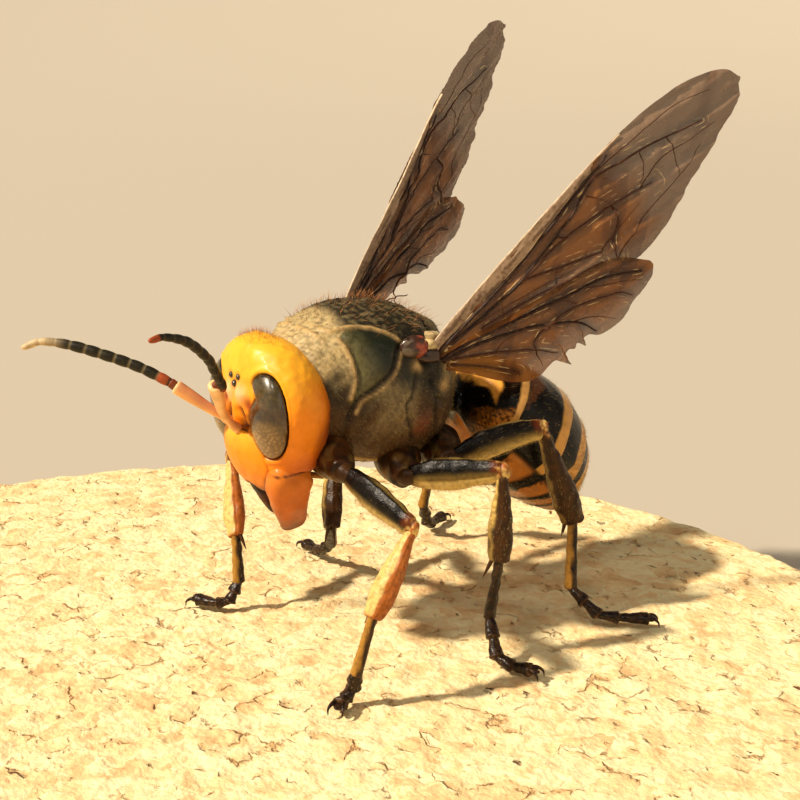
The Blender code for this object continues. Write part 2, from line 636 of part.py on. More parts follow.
def add_leg(name, joints):
    """One leg as coxa, femur, tibia and tarsus, each hollowed where it meets the one before."""
    root, trochanter, knee, ankle, heel, middle, toe, end = (np.array(joint) for joint in joints)
    pair = name.split("_")[0]
    coxa = limb(root, trochanter, COXA_RADII)
    femur = limb(trochanter, knee, FEMUR_RADII[pair], FEMUR_BOW[pair])
    tibia = limb(knee, ankle, TIBIA_RADII[pair])
    tarsus = tarsus_line(ankle, heel, middle, toe, end)
    hip = combine(grown_tube(coxa), [thorax_shape(GAP), head_shape(GAP)], "DIFFERENCE")
    add_node("coxa_" + name, hip, "dark")
    thigh = combine(grown_tube(femur), [grown_tube(coxa, GAP), thorax_shape(GAP)], "DIFFERENCE")
    add_node("femur_" + name, thigh, "dark")
    shin = combine(grown_tube(tibia), spurs(name, knee, ankle, heel), "UNION")
    add_node("tibia_" + name, combine(shin, [grown_tube(femur, GAP)], "DIFFERENCE"), "shell")
    claws = [claw(end, toe, side) for side in (1, -1)]
    foot = combine(grown_tube(tarsus, sides=6), claws, "UNION", solver="MANIFOLD")
    cutters = [grown_tube(tibia, GAP), *spurs(name, knee, ankle, heel, GAP)]
    add_node("tarsus_" + name, combine(foot, cutters, "DIFFERENCE", solver="MANIFOLD"), "dark")


def wing_frame(side):
    """A function that turns (along the front edge, along the chord, height) into places in space."""
    root, front, chord = (np.array(row) for row in WING_FRAMES[side])
    front = unit(front)
    chord = unit(chord - np.dot(chord, front) * front)
    normal = np.cross(front, chord)

    def place(u, v, w):
        u, v, w = np.broadcast_arrays(u, v, w)
        return root + u[..., None] * front + v[..., None] * chord + w[..., None] * normal

    return place


def add_wing(kind, side, outline, veins, cutters):
    """One membrane with its main veins raised as ridges on both faces."""
    place = wing_frame(side)
    ribs = []
    for vein in veins:
        line = np.array(vein)
        points = place(line[:, 0], line[:, 1], 0.0)
        facing = place(0.0, 0.0, 1.0) - place(0.0, 0.0, 0.0)
        ribs.append(tube(points, [VEIN_RADIUS] * len(points), sides=4, facing=facing, rounded=False))
    wing = combine(slab(outline, WING_THICKNESS, place), ribs, "UNION", solver="MANIFOLD")
    add_node("wing_%s_%s" % (kind, side), combine(wing, cutters, "DIFFERENCE", solver="MANIFOLD"), "wing")


def add_wings():
    """Both pairs of wings, the hind wing in the plane of the fore wing and hooked behind it."""
    split = np.array(WING_SPLIT)
    behind = split[::-1] + (0.0, WING_FOLD)
    forewing = np.vstack([FOREWING_FRONT, FOREWING_OUTER, split])
    hindwing = np.vstack([behind, HINDWING_OUTER])
    for name, side in (("L", 1), ("R", -1)):
        for kind, outline, veins in (("fore", forewing, FOREWING_VEINS), ("hind", hindwing, HINDWING_VEINS)):
            add_wing(kind, name, outline, veins, [thorax_shape(GAP), tegula_shape(side, GAP)])


def add_base():
    """The disc of pressed cork, its edges worn by a small slope."""
    profile = ((DISC_RADIUS - DISC_WORN_EDGE, 0.0), (DISC_RADIUS, DISC_WORN_EDGE),
               (DISC_RADIUS, DISC_THICKNESS - DISC_WORN_EDGE), (DISC_RADIUS - DISC_WORN_EDGE, DISC_THICKNESS))
    turn = 2 * math.pi * np.arange(DISC_SIDES) / DISC_SIDES
    rings = [np.stack([radius * np.cos(turn), radius * np.sin(turn), np.full(DISC_SIDES, height)], axis=1)
             for radius, height in profile]
    add_node("base_disc", skin(rings), "cork")


def main():
    for thing in list(bpy.data.objects):
        bpy.data.objects.remove(thing)
    add_base()
    add_head()
    add_antennae()
    add_thorax()
    add_gaster()
    for name, joints in LEG_JOINTS.items():
        add_leg(name, joints)
    add_wings()


main()
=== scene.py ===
"""Looks of the giant hornet specimen on its cork disc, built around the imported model.

The hornet faces -Y with its left side towards +X, and the disc lies on z = 0. Sizes and places here are
millimetres, and make_piece turns them into metres. A surface is a grid of points worked out with numpy:
rows run along a part, columns run round it.
"""

import logging
import math
from dataclasses import dataclass, field
from enum import Enum
from typing import Any, Optional, Sequence

import bpy
import numpy as np
from mathutils import Matrix, Vector


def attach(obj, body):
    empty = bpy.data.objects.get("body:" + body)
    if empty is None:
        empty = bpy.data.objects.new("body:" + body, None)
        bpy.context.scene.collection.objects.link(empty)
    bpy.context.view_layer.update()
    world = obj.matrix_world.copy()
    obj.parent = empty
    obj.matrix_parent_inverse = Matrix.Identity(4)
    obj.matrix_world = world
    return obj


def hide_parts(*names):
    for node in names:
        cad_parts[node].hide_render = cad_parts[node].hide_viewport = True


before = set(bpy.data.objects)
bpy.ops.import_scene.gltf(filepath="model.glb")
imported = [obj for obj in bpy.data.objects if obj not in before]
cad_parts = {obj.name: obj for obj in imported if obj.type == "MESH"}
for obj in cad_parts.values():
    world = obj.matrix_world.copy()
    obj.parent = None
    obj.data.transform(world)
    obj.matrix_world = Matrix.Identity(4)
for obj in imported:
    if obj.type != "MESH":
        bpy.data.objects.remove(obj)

Array = np.ndarray
Triple = tuple[float, float, float]
Pair = tuple[float, float]

MM = 0.001
BODY = "root"
MIDLINE = -2.0
BOARD_TOP = 5.0

log = logging.getLogger("hornet")


def unit(vectors: Array) -> Array:
    """The vectors at length one."""
    vectors = np.asarray(vectors, float)
    return vectors / np.maximum(np.linalg.norm(vectors, axis=-1, keepdims=True), 1e-9)


def smooth(low: float, high: float, value: Array) -> Array:
    """A soft step.

    Args:
        low: Value where the step starts, at 0.
        high: Value where it ends, at 1. It may be below low, for a step down.
        value: What is compared with them.

    Returns:
        s * s * (3 - 2 s), where s is the value's share of the way from low to high.
    """
    share = np.clip((np.asarray(value, float) - low) / (high - low), 0.0, 1.0)
    return share * share * (3 - 2 * share)


def around(count: int) -> Array:
    """Angles at even steps round a ring."""
    return 2 * np.pi * np.arange(count) / count


def bell(distance: Array, width: float) -> Array:
    """A rounded hump, exp(-(distance / width) squared)."""
    return np.exp(-(np.asarray(distance, float) / width) ** 2)


def curve_through(points: Sequence, steps: int) -> Array:
    """A smooth curve through rows of numbers.

    Args:
        points: The rows to pass through.
        steps: Points for each span between two rows.

    Returns:
        The rows of the curve: between two rows it is the cubic whose slope at each row is half of the
        way from the row before to the row after.
    """
    points = np.asarray(points, float)
    rows = np.vstack([2 * points[0] - points[1], points, 2 * points[-1] - points[-2]])
    share = (np.arange(steps) / steps)[:, None, None]
    before, start, end, after = (rows[first:len(rows) - 3 + first] for first in range(4))
    bend = 2 * before - 5 * start + 4 * end - after
    twist = 3 * start - before - 3 * end + after
    spans = start + 0.5 * ((end - before) * share + bend * share ** 2 + twist * share ** 3)
    return np.vstack([spans.transpose(1, 0, 2).reshape(-1, points.shape[1]), points[-1:]])


def resampled(points: Sequence, count: int) -> Array:
    """The smooth curve through the points, read at even steps of its length."""
    path = curve_through(points, 24)
    walked = np.concatenate([[0.0], np.cumsum(np.linalg.norm(np.diff(path, axis=0), axis=1))])
    places = np.linspace(0.0, walked[-1], count)
    return np.stack([np.interp(places, walked, column) for column in path.T], axis=1)


def column_at(table: Array, values: Array) -> Array:
    """The columns after the first of a table, read at values of its first column, last axis first."""
    return np.stack([np.interp(values, table[:, 0], column) for column in table.T[1:]])


def ripple(points: Array, size: float, seed: int, waves: int = 20) -> Array:
    """Smooth unevenness.

    Args:
        points: Where it is read, in millimetres.
        size: About how far apart its humps lie, in millimetres.
        seed: Which unevenness.
        waves: How many waves it is made of.

    Returns:
        The sum of sine waves in random directions with wavelengths round the size, from about -1 to 1.
    """
    draw = np.random.default_rng(seed)
    numbers = unit(draw.normal(size=(waves, 3))) * (2 * np.pi / (size * draw.uniform(0.7, 1.6, (waves, 1))))
    phases = draw.uniform(0, 2 * np.pi, waves)
    return np.sin(points @ numbers.T + phases).sum(axis=-1) / (0.9 * math.sqrt(waves))


def distance_to_line(points: Array, line: Array) -> Array:
    """Distance of each point from a line of straight runs."""
    nearest = np.full(points.shape[:-1], np.inf)
    for start, end in zip(line, line[1:]):
        run = end - start
        share = np.clip(((points - start) @ run) / (run @ run), 0.0, 1.0)
        nearest = np.minimum(nearest, np.linalg.norm(points - start - share[..., None] * run, axis=-1))
    return nearest


def inside_outline(across: Array, up: Array, outline: Array) -> Array:
    """Whether points lie inside a flat outline, by counting the edges that a level ray crosses."""
    inside = np.zeros(across.shape, bool)
    for (x0, y0), (x1, y1) in zip(outline, np.roll(outline, -1, axis=0)):
        if y0 != y1:
            crosses = (y0 > up) != (y1 > up)
            inside ^= crosses & (across < x0 + (up - y0) / (y1 - y0) * (x1 - x0))
    return inside


@dataclass
class Surface:
    """A closed surface under construction, in millimetres.

    Attributes:
        points: One row for each point.
        quads: Four point numbers for each four-sided face.
        triangles: Three point numbers for each three-sided face.
        paint: Named values at the points, which the finishes read.
        patch: Each point's place on the coat's bake map, for hair only.
    """

    points: Array
    quads: Array
    triangles: Array
    paint: dict[str, Array] = field(default_factory=dict)
    patch: Optional[Array] = None

    def facing_out(self) -> "Surface":
        """The same surface with its faces turned outwards, judged by the sign of its volume."""
        faces = np.vstack([self.quads[:, :3], self.quads[:, (0, 2, 3)], self.triangles])
        first, second, third = (self.points[faces[:, corner]] for corner in range(3))
        if (first * np.cross(second, third)).sum() < 0:
            self.quads = self.quads[:, ::-1]
            self.triangles = self.triangles[:, ::-1]
        return self

    @staticmethod
    def joined(parts: Sequence["Surface"]) -> "Surface":
        """Several surfaces as one piece.

        Args:
            parts: The surfaces. A value that one of them lacks is 0 there.

        Returns:
            One surface that holds them all.
        """
        starts = np.cumsum([0] + [len(part.points) for part in parts[:-1]])
        names = sorted({name for part in parts for name in part.paint})
        paint = {name: np.concatenate([part.paint.get(name, np.zeros(len(part.points))) for part in parts])
                 for name in names}
        has_patch = all(part.patch is not None for part in parts)
        return Surface(
            points=np.vstack([part.points for part in parts]),
            quads=np.vstack([part.quads + start for part, start in zip(parts, starts)]),
            triangles=np.vstack([part.triangles + start for part, start in zip(parts, starts)]),
            paint=paint,
            patch=np.vstack([part.patch for part in parts]) if has_patch else None,
        )


def loft(rings: Array, paint: Optional[dict[str, Any]] = None) -> Surface:
    """A closed surface through rings of points.

    Args:
        rings: Array of rows, columns and three coordinates. Columns go round and meet.
        paint: Named values, each a number or an array that fits the rows and columns.

    Returns:
        Four-sided faces between neighbouring rings, and at each end a fan to the end ring's middle.
    """
    rows, sides = rings.shape[:2]
    index = np.arange(rows * sides).reshape(rows, sides)
    beside = np.roll(index, -1, axis=1)
    quads = np.stack([index[:-1], beside[:-1], beside[1:], index[1:]], axis=-1).reshape(-1, 4)
    ends = np.full((2, sides), rows * sides) + np.array([[0], [1]])
    triangles = np.vstack([np.stack([beside[0], index[0], ends[0]], axis=-1),
                           np.stack([index[-1], beside[-1], ends[1]], axis=-1)])
    points = np.vstack([rings.reshape(-1, 3), rings[0].mean(axis=0), rings[-1].mean(axis=0)])
    grids = {name: np.broadcast_to(value, (rows, sides)) for name, value in (paint or {}).items()}
    values = {name: np.concatenate([grid.ravel(), [grid[0].mean(), grid[-1].mean()]])
              for name, grid in grids.items()}
    return Surface(points, quads, triangles, values).facing_out()


def grid_normals(rings: Array) -> Array:
    """Outward directions of a grid: the cross product of its steps along and around."""
    along = np.gradient(rings, axis=0)
    around = np.roll(rings, -1, axis=1) - np.roll(rings, 1, axis=1)
    normals = unit(np.cross(around, along))
    outward = rings - rings.mean(axis=1, keepdims=True)
    return normals * np.sign(np.median((normals * outward).sum(axis=-1)))


def raised(rings: Array, height: Array) -> Array:
    """The rings with each point moved out along its normal by its height."""
    return rings + grid_normals(rings) * height[..., None]


def lump(middle: Triple, size: Triple, rows: int, sides: int, trim: float = 0.06) -> Array:
    """Rings of an ellipsoid, from its front to its back.

    Args:
        middle: Its middle.
        size: Its half sizes across, back and up.
        rows: Number of rings.
        sides: Points of each ring.
        trim: Angle left out at each end, which loft closes.

    Returns:
        The rings.
    """
    share = np.linspace(trim, np.pi - trim, rows)[:, None]
    turn = around(sides)
    back = -np.cos(share) + 0 * turn
    shape = np.stack([np.sin(share) * np.cos(turn), back, np.sin(share) * np.sin(turn)], axis=-1)
    return np.array(middle) + shape * np.array(size)


def round_end(rings: Array, reach: float, steps: int = 5) -> Array:
    """The rings with a rounded end added.

    Args:
        rings: The rings, the last of which gets the end.
        reach: How far the end stands out past the last ring.
        steps: Number of rings added.

    Returns:
        The rings followed by copies of the last one that shrink by the cosine of an angle and move out
        by its sine, as the angle goes to nearly a right angle.
    """
    middle = rings[-1].mean(axis=0)
    ahead = unit(middle - rings[-2].mean(axis=0))
    turn = (np.arange(1, steps + 1) / steps * math.radians(84))[:, None, None]
    added = middle + (rings[-1] - middle) * np.cos(turn) + ahead * reach * np.sin(turn)
    return np.concatenate([rings, added])


def round_ends(rings: Array, start: float, end: float, steps: int = 5) -> Array:
    """The rings with both ends rounded, each by its own reach."""
    return round_end(round_end(rings, end, steps)[::-1], start, steps)[::-1]


def superellipse(turn: Array, wide: Array, above: Array, below: Array, power: float) -> tuple[Array, Array]:
    """Across and up values of |x / wide| ** power + |z / reach| ** power = 1 at angles turn."""
    across, up = np.cos(turn), np.sin(turn)
    reach = np.where(up > 0, above, below)
    return (wide * np.sign(across) * np.abs(across) ** (2 / power),
            reach * np.sign(up) * np.abs(up) ** (2 / power))


def sweep(path: Array, wide: Array, thick: Array, facing: Triple = (0.0, 0.0, 1.0), sides: int = 20,
          power: float = 2.0) -> Array:
    """Rings carried along a path.

    Args:
        path: Points of the path.
        wide: Half width at each point, at right angles to the path and to facing.
        thick: Half thickness at each point, towards facing.
        facing: The direction that the thickness is measured in.
        sides: Points of each ring.
        power: 2 for ellipses, more for boxier rings.

    Returns:
        Rings of superellipses at right angles to the path.
    """
    steps = unit(np.diff(path, axis=0))
    along = unit(np.vstack([steps[:1], steps[:-1] + steps[1:], steps[-1:]]))
    across = unit(np.cross(along, np.array(facing)))
    towards = np.cross(across, along)
    turn = around(sides)
    x, z = superellipse(turn[None, :], np.asarray(wide)[:, None], np.asarray(thick)[:, None],
                        np.asarray(thick)[:, None], power)
    return path[:, None, :] + x[..., None] * across[:, None, :] + z[..., None] * towards[:, None, :]


def tapered(start: Triple, end: Triple, radii: Sequence[float], bow: float = 0.0,
            count: int = 24) -> tuple[Array, Array]:
    """A limb's path and radii.

    Args:
        start: Where it starts.
        end: Where it ends.
        radii: Radii at even steps along it.
        bow: How far its middle is lifted.
        count: Points along it.

    Returns:
        The straight way from start to end, lifted by 4 s (1 - s) times the bow at share s, and radii
        read from a smooth curve through the given ones.
    """
    share = np.linspace(0.0, 1.0, count)
    path = np.array(start) + share[:, None] * (np.array(end) - np.array(start))
    path[:, 2] += 4 * bow * share * (1 - share)
    table = curve_through(np.stack([np.linspace(0, 1, len(radii)), radii], axis=1), 8)
    return path, column_at(table, share)[0]


@dataclass(frozen=True)
class Placing:
    """The frame of a body part: its middle, and how far its nose points up, in degrees."""

    middle: Triple
    pitch: float

    def place(self, local: Array) -> Array:
        """Places in space of points given as across, back and up in the part's own frame."""
        turn = math.radians(self.pitch)
        axes = np.array([(1, 0, 0), (0, math.cos(turn), -math.sin(turn)),
                         (0, math.sin(turn), math.cos(turn))])
        return np.array(self.middle) + np.asarray(local, float) @ axes


THORAX_PLACING = Placing((MIDLINE, 13.0, 21.2), 5.0)
HEAD_PLACING = Placing((MIDLINE, 6.24, 19.6), -3.5)


@dataclass(frozen=True)
class Dimple:
    """A rounded hollow, or a rise where the depth is negative, in a part's own frame, on both sides."""

    middle: Triple
    size: Triple
    depth: float
    paint: str = ""

    def strength(self, local: Array) -> Array:
        """How much of it is felt at each point: a bell over the distance in units of its size."""
        away = (local - np.array(self.middle)) / np.array(self.size)
        return bell(np.linalg.norm(away, axis=-1), 1.0)


@dataclass(frozen=True)
class Crease:
    """A groove, or a ridge where the depth is negative, along a line in a part's own frame."""

    line: tuple[Triple, ...]
    width: float
    depth: float
    paint: str = ""

    def strength(self, local: Array) -> Array:
        """How much of it is felt at each point: a bell over the distance from its curve."""
        return bell(distance_to_line(local, curve_through(self.line, 4)), self.width)


def apply_marks(local: Array, marks: Sequence, paint: dict[str, Array]) -> Array:
    """The depth of all marks at each point, which also fills in what they paint.

    Args:
        local: Points in the part's own frame. Marks are mirrored: they see the distance from the middle.
        marks: The dimples and creases.
        paint: Named values, which each mark that names one raises.

    Returns:
        The summed depth, positive into the surface.
    """
    mirrored = np.concatenate([np.abs(local[..., :1]), local[..., 1:]], axis=-1)
    depth = np.zeros(local.shape[:-1])
    for mark in marks:
        strength = mark.strength(mirrored)
        depth += mark.depth * strength
        if mark.paint:
            paint[mark.paint] = np.maximum(paint.get(mark.paint, np.zeros_like(depth)), strength)
    return depth


def linear_colour(code: str) -> tuple[float, float, float, float]:
    """The linear value of an sRGB hex colour."""
    encoded = np.array([int(code[start:start + 2], 16) / 255 for start in (1, 3, 5)])
    values = np.where(encoded <= 0.04045, encoded / 12.92, ((encoded + 0.055) / 1.055) ** 2.4)
    return (*values.tolist(), 1.0)


def add_node(tree: bpy.types.NodeTree, kind: str, settings: Optional[dict[Any, Any]] = None,
             links: Optional[dict[Any, Any]] = None) -> bpy.types.Node:
    """Adds a node with its settings and links.

    Args:
        tree: The node tree.
        kind: The node's type name after ShaderNode.
        settings: Values by name of a property, or else by name or number of an input.
        links: Output sockets by name or number of the input that each feeds.

    Returns:
        The node.
    """
    node = tree.nodes.new("ShaderNode" + kind)
    for key, value in (settings or {}).items():
        if isinstance(key, str) and hasattr(node, key):
            setattr(node, key, value)
        else:
            node.inputs[key].default_value = value
    for key, socket in (links or {}).items():
        tree.links.new(socket, node.inputs[key])
    return node


@dataclass(frozen=True)
class Finish:
    """A finish of chitin, horn, cork or hair, painted by named values that a piece carries.

    Attributes:
        name: The material's name.
        base: Colour where no layer lies.
        layers: Pairs of a painted value's name and the colour that it brings, laid in order.
        mottle: Colour of the faint clouding.
        mottle_size: Distance between its clouds, in millimetres.
        mottle_share: How much of that colour shows at most.
        roughness: Roughness between its least and its greatest, which the clouding spreads.
        grain_size: Distance between the bumps of the surface, in millimetres.
        grain_depth: Height of those bumps, in millimetres.
        coat: Weight of the clear waxy layer on top.
        sheen: Weight of the soft glow of a fine pile.
        sheen_colour: Colour of that glow.
        polished: Name of a painted value where the surface is polished, if it has one.
        shine: Strength of the plain reflection, 0.5 for bare smooth horn, less where fine grain breaks it.
    """

    name: str
    base: str
    layers: tuple[tuple[str, str], ...] = ()
    mottle: str = "#000000"
    mottle_size: float = 1.0
    mottle_share: float = 0.3
    roughness: Pair = (0.3, 0.45)
    grain_size: float = 0.12
    grain_depth: float = 0.01
    coat: float = 0.0
    sheen: float = 0.0
    sheen_colour: str = "#C8B070"
    polished: str = ""
    shine: float = 0.3

    def build(self) -> bpy.types.Material:
        """The material: layers of colour by painted values, clouding from noise and bumps from noise."""
        known = bpy.data.materials.get(self.name)
        if known:
            return known
        material = bpy.data.materials.new(self.name)
        material.use_nodes = True
        tree = material.node_tree
        shader = tree.nodes["Principled BSDF"]
        where = add_node(tree, "TexCoord").outputs["Object"]
        clouds = add_node(tree, "TexNoise", {"Scale": 1 / (self.mottle_size * MM), "Detail": 4.0},
                          {"Vector": where}).outputs["Fac"]
        colour = add_node(tree, "RGB").outputs[0]
        colour.default_value = linear_colour(self.base)
        for value, code in self.layers:
            amount = add_node(tree, "Attribute", {"attribute_name": value}).outputs["Fac"]
            colour = add_node(tree, "Mix", {"data_type": "RGBA", 7: linear_colour(code)},
                              {0: amount, 6: colour}).outputs[2]
        share = add_node(tree, "MapRange", {"From Min": 0.45, "From Max": 0.72, "To Max": self.mottle_share},
                         {"Value": clouds}).outputs[0]
        colour = add_node(tree, "Mix", {"data_type": "RGBA", 7: linear_colour(self.mottle)},
                          {0: share, 6: colour}).outputs[2]
        tree.links.new(colour, shader.inputs["Base Color"])
        low, high = self.roughness
        rough = add_node(tree, "MapRange", {"From Min": 0.3, "From Max": 0.7, "To Min": low, "To Max": high},
                         {"Value": clouds})
        if self.polished:
            amount = add_node(tree, "Attribute", {"attribute_name": self.polished}).outputs["Fac"]
            rough = add_node(tree, "Mix", {3: 0.16}, {0: amount, 2: rough.outputs[0]})
        tree.links.new(rough.outputs[0], shader.inputs["Roughness"])
        grain = add_node(tree, "TexNoise", {"Scale": 1 / (self.grain_size * MM), "Detail": 3.0},
                         {"Vector": where})
        bumps = add_node(tree, "Bump", {"Strength": 1.0, "Distance": self.grain_depth * MM},
                         {"Height": grain.outputs["Fac"]})
        tree.links.new(bumps.outputs["Normal"], shader.inputs["Normal"])
        shader.inputs["Specular IOR Level"].default_value = self.shine
        shader.inputs["Coat Weight"].default_value = self.coat
        shader.inputs["Coat Roughness"].default_value = 0.12
        shader.inputs["Sheen Weight"].default_value = self.sheen
        shader.inputs["Sheen Roughness"].default_value = 0.4
        shader.inputs["Sheen Tint"].default_value = linear_colour(self.sheen_colour)
        return material


# Chitin of the head: waxy and yellow-orange, deeper towards the jaws partly as painted shade, its yellower
# top partly a painted highlight, its rear edge darkened as painted shade, with dark seams of painted shade.
HEAD_CHITIN = Finish(
    "head_chitin", "#FA900C",
    layers=(("crown", "#FFC634"), ("low", "#CC6414"), ("peach", "#F8CC98"), ("rim", "#7A3014"),
            ("rust", "#8A3218"), ("shade", "#3A1608"), ("seam", "#1E0A04")),
    mottle="#C05A0E", mottle_size=0.9, mottle_share=0.2, roughness=(0.36, 0.5), grain_size=0.26,
    grain_depth=0.02, coat=0.06)

# Facets of a compound eye, too fine to see singly: a glossy olive brown with paler specks, its upper part
# painted greyer as a painted reflection of the sky and its sunk edge painted dark as painted shade.
EYE_LENS = Finish(
    "compound_eye", "#2E2416",
    layers=(("sky", "#484028"), ("brow", "#70502A"), ("speck", "#B08850"), ("edge", "#0E0804")),
    mottle="#7A6038", mottle_size=0.3, mottle_share=0.35, roughness=(0.24, 0.34), grain_size=0.08,
    grain_depth=0.003, coat=0.7, shine=0.4)

# Horny jaws: orange brown, blackened along the biting edge.
JAW_HORN = Finish(
    "jaw_horn", "#C4641A",
    layers=(("pale", "#E08226"), ("tip", "#6E3E1A"), ("edge", "#0C0604"), ("seam", "#1E0A04")),
    mottle="#94440F", mottle_size=1.1, mottle_share=0.3, roughness=(0.34, 0.48), grain_size=0.25,
    grain_depth=0.015, coat=0.08)

# Antenna shafts: the same horn, pale orange, painted pinker and darker on the right shaft, and only faintly
# on the left, as painted shade.
SHAFT_HORN = Finish(
    "shaft_horn", "#F2AC68",
    layers=(("pink", "#B87A58"), ("pale", "#FFDCA0"), ("seam", "#3A160A")),
    mottle="#9A4A2C", mottle_size=0.7, mottle_share=0.3, roughness=(0.3, 0.45), grain_size=0.15,
    grain_depth=0.008, coat=0.1)

# Antenna lash: dark olive brown joints with paler rings between them and a light tip; the left lash is
# painted near black as painted shade.
LASH_HORN = Finish(
    "antenna_lash", "#1C180D",
    layers=(("black", "#120804"), ("ring", "#6A5E40"), ("rust", "#A84A22"), ("pale", "#D8BE94")),
    mottle="#3E381C", mottle_size=0.4, mottle_share=0.4, roughness=(0.4, 0.55), grain_size=0.08,
    grain_depth=0.01)

# Thorax plates: green-black chitin dusted over with pale golden pile, polished where it is bare, with a
# painted sheen on the bare plate and painted shade in its creases and hollows.
THORAX_CHITIN = Finish(
    "thorax_chitin", "#221E10",
    layers=(("amber", "#523414"), ("rust", "#743A18"), ("dust", "#D2B984"), ("bare", "#1C2216"),
            ("gleam", "#6E6844"), ("lip", "#C4A26A"), ("seam", "#080502")),
    mottle="#100E08", mottle_size=0.35, mottle_share=0.5, roughness=(0.42, 0.62), grain_size=0.11,
    grain_depth=0.03, sheen=0.05, polished="bare")

# Wing root scales and hinge plates: glossy dark brown with a red patch, or straw.
TEGULA_CHITIN = Finish(
    "tegula_chitin", "#3A2418",
    layers=(("grey", "#7A6E60"), ("pale", "#E8CC94"), ("rust", "#A8482E"), ("seam", "#100704")),
    mottle="#2A1008", mottle_size=0.5, mottle_share=0.5, roughness=(0.2, 0.34), grain_size=0.15,
    grain_depth=0.02, coat=0.4)

# Gaster rings: glossy black with amber and tan bands.
GASTER_CHITIN = Finish(
    "gaster_chitin", "#040201",
    layers=(("brown", "#54301A"), ("striate", "#CC8434"), ("tan", "#DAA45A"), ("amber", "#FFB248"),
            ("belly", "#C07830"), ("seam", "#040201")),
    mottle="#120A06", mottle_size=0.6, mottle_share=0.3, roughness=(0.2, 0.32), grain_size=0.09,
    grain_depth=0.01, shine=0.22)

# Thighs and shins: nearly black above, with a golden olive edge below and pale golden knees; a painted
# highlight runs along each thigh's top edge, and shins are painted paler on the side towards the light and
# darker on the other, as painted light and shade.
LEG_CHITIN = Finish(
    "leg_chitin", "#060302",
    layers=(("brown", "#452A12"), ("olive", "#A88A48"), ("rust", "#64290C"), ("amber", "#B0642A"),
            ("pale", "#E6C67A"), ("seam", "#060302")),
    mottle="#1E140A", mottle_size=0.3, mottle_share=0.45, roughness=(0.26, 0.44), grain_size=0.13,
    grain_depth=0.03, shine=0.2)

# Claws and feet: dark brown with lighter joint ends, glossy; the first foot joint of the fore and hind legs
# is painted amber on the side towards the light and dark on the other, partly its golden colour and partly
# painted light.
FOOT_CHITIN = Finish(
    "foot_chitin", "#1A0F08",
    layers=(("amber", "#A87A30"), ("ring", "#6A4420"), ("seam", "#080402")),
    mottle="#5A3A20", mottle_size=0.3, mottle_share=0.5, roughness=(0.24, 0.4), grain_size=0.12,
    grain_depth=0.03, coat=0.06, shine=0.22)

# Wing veins: dark brown rods, and the stiff front edge, dusty pinkish tan.
VEIN_HORN = Finish(
    "wing_vein", "#160804",
    layers=(("amber", "#4A220C"), ("costa", "#A68C74"), ("pale", "#F0DAB8"), ("seam", "#4A3220")),
    mottle="#6A4C34", mottle_size=0.3, mottle_share=0.5, roughness=(0.36, 0.55), grain_size=0.12,
    grain_depth=0.03, shine=0.25)

# Golden hair of the thorax and the legs, and the redder hair of the head's top.
GOLD_HAIR = Finish(
    "golden_hair", "#A8884C", layers=(("tint", "#E6CE92"), ("root", "#5A4420")),
    mottle="#7A5A2A", mottle_share=0.2, roughness=(0.4, 0.6), grain_depth=0.0)
RUST_HAIR = Finish(
    "rusty_hair", "#B4682E", layers=(("tint", "#E8AE74"), ("root", "#5A2C12")),
    mottle="#7A3A1A", mottle_share=0.2, roughness=(0.4, 0.6), grain_depth=0.0)


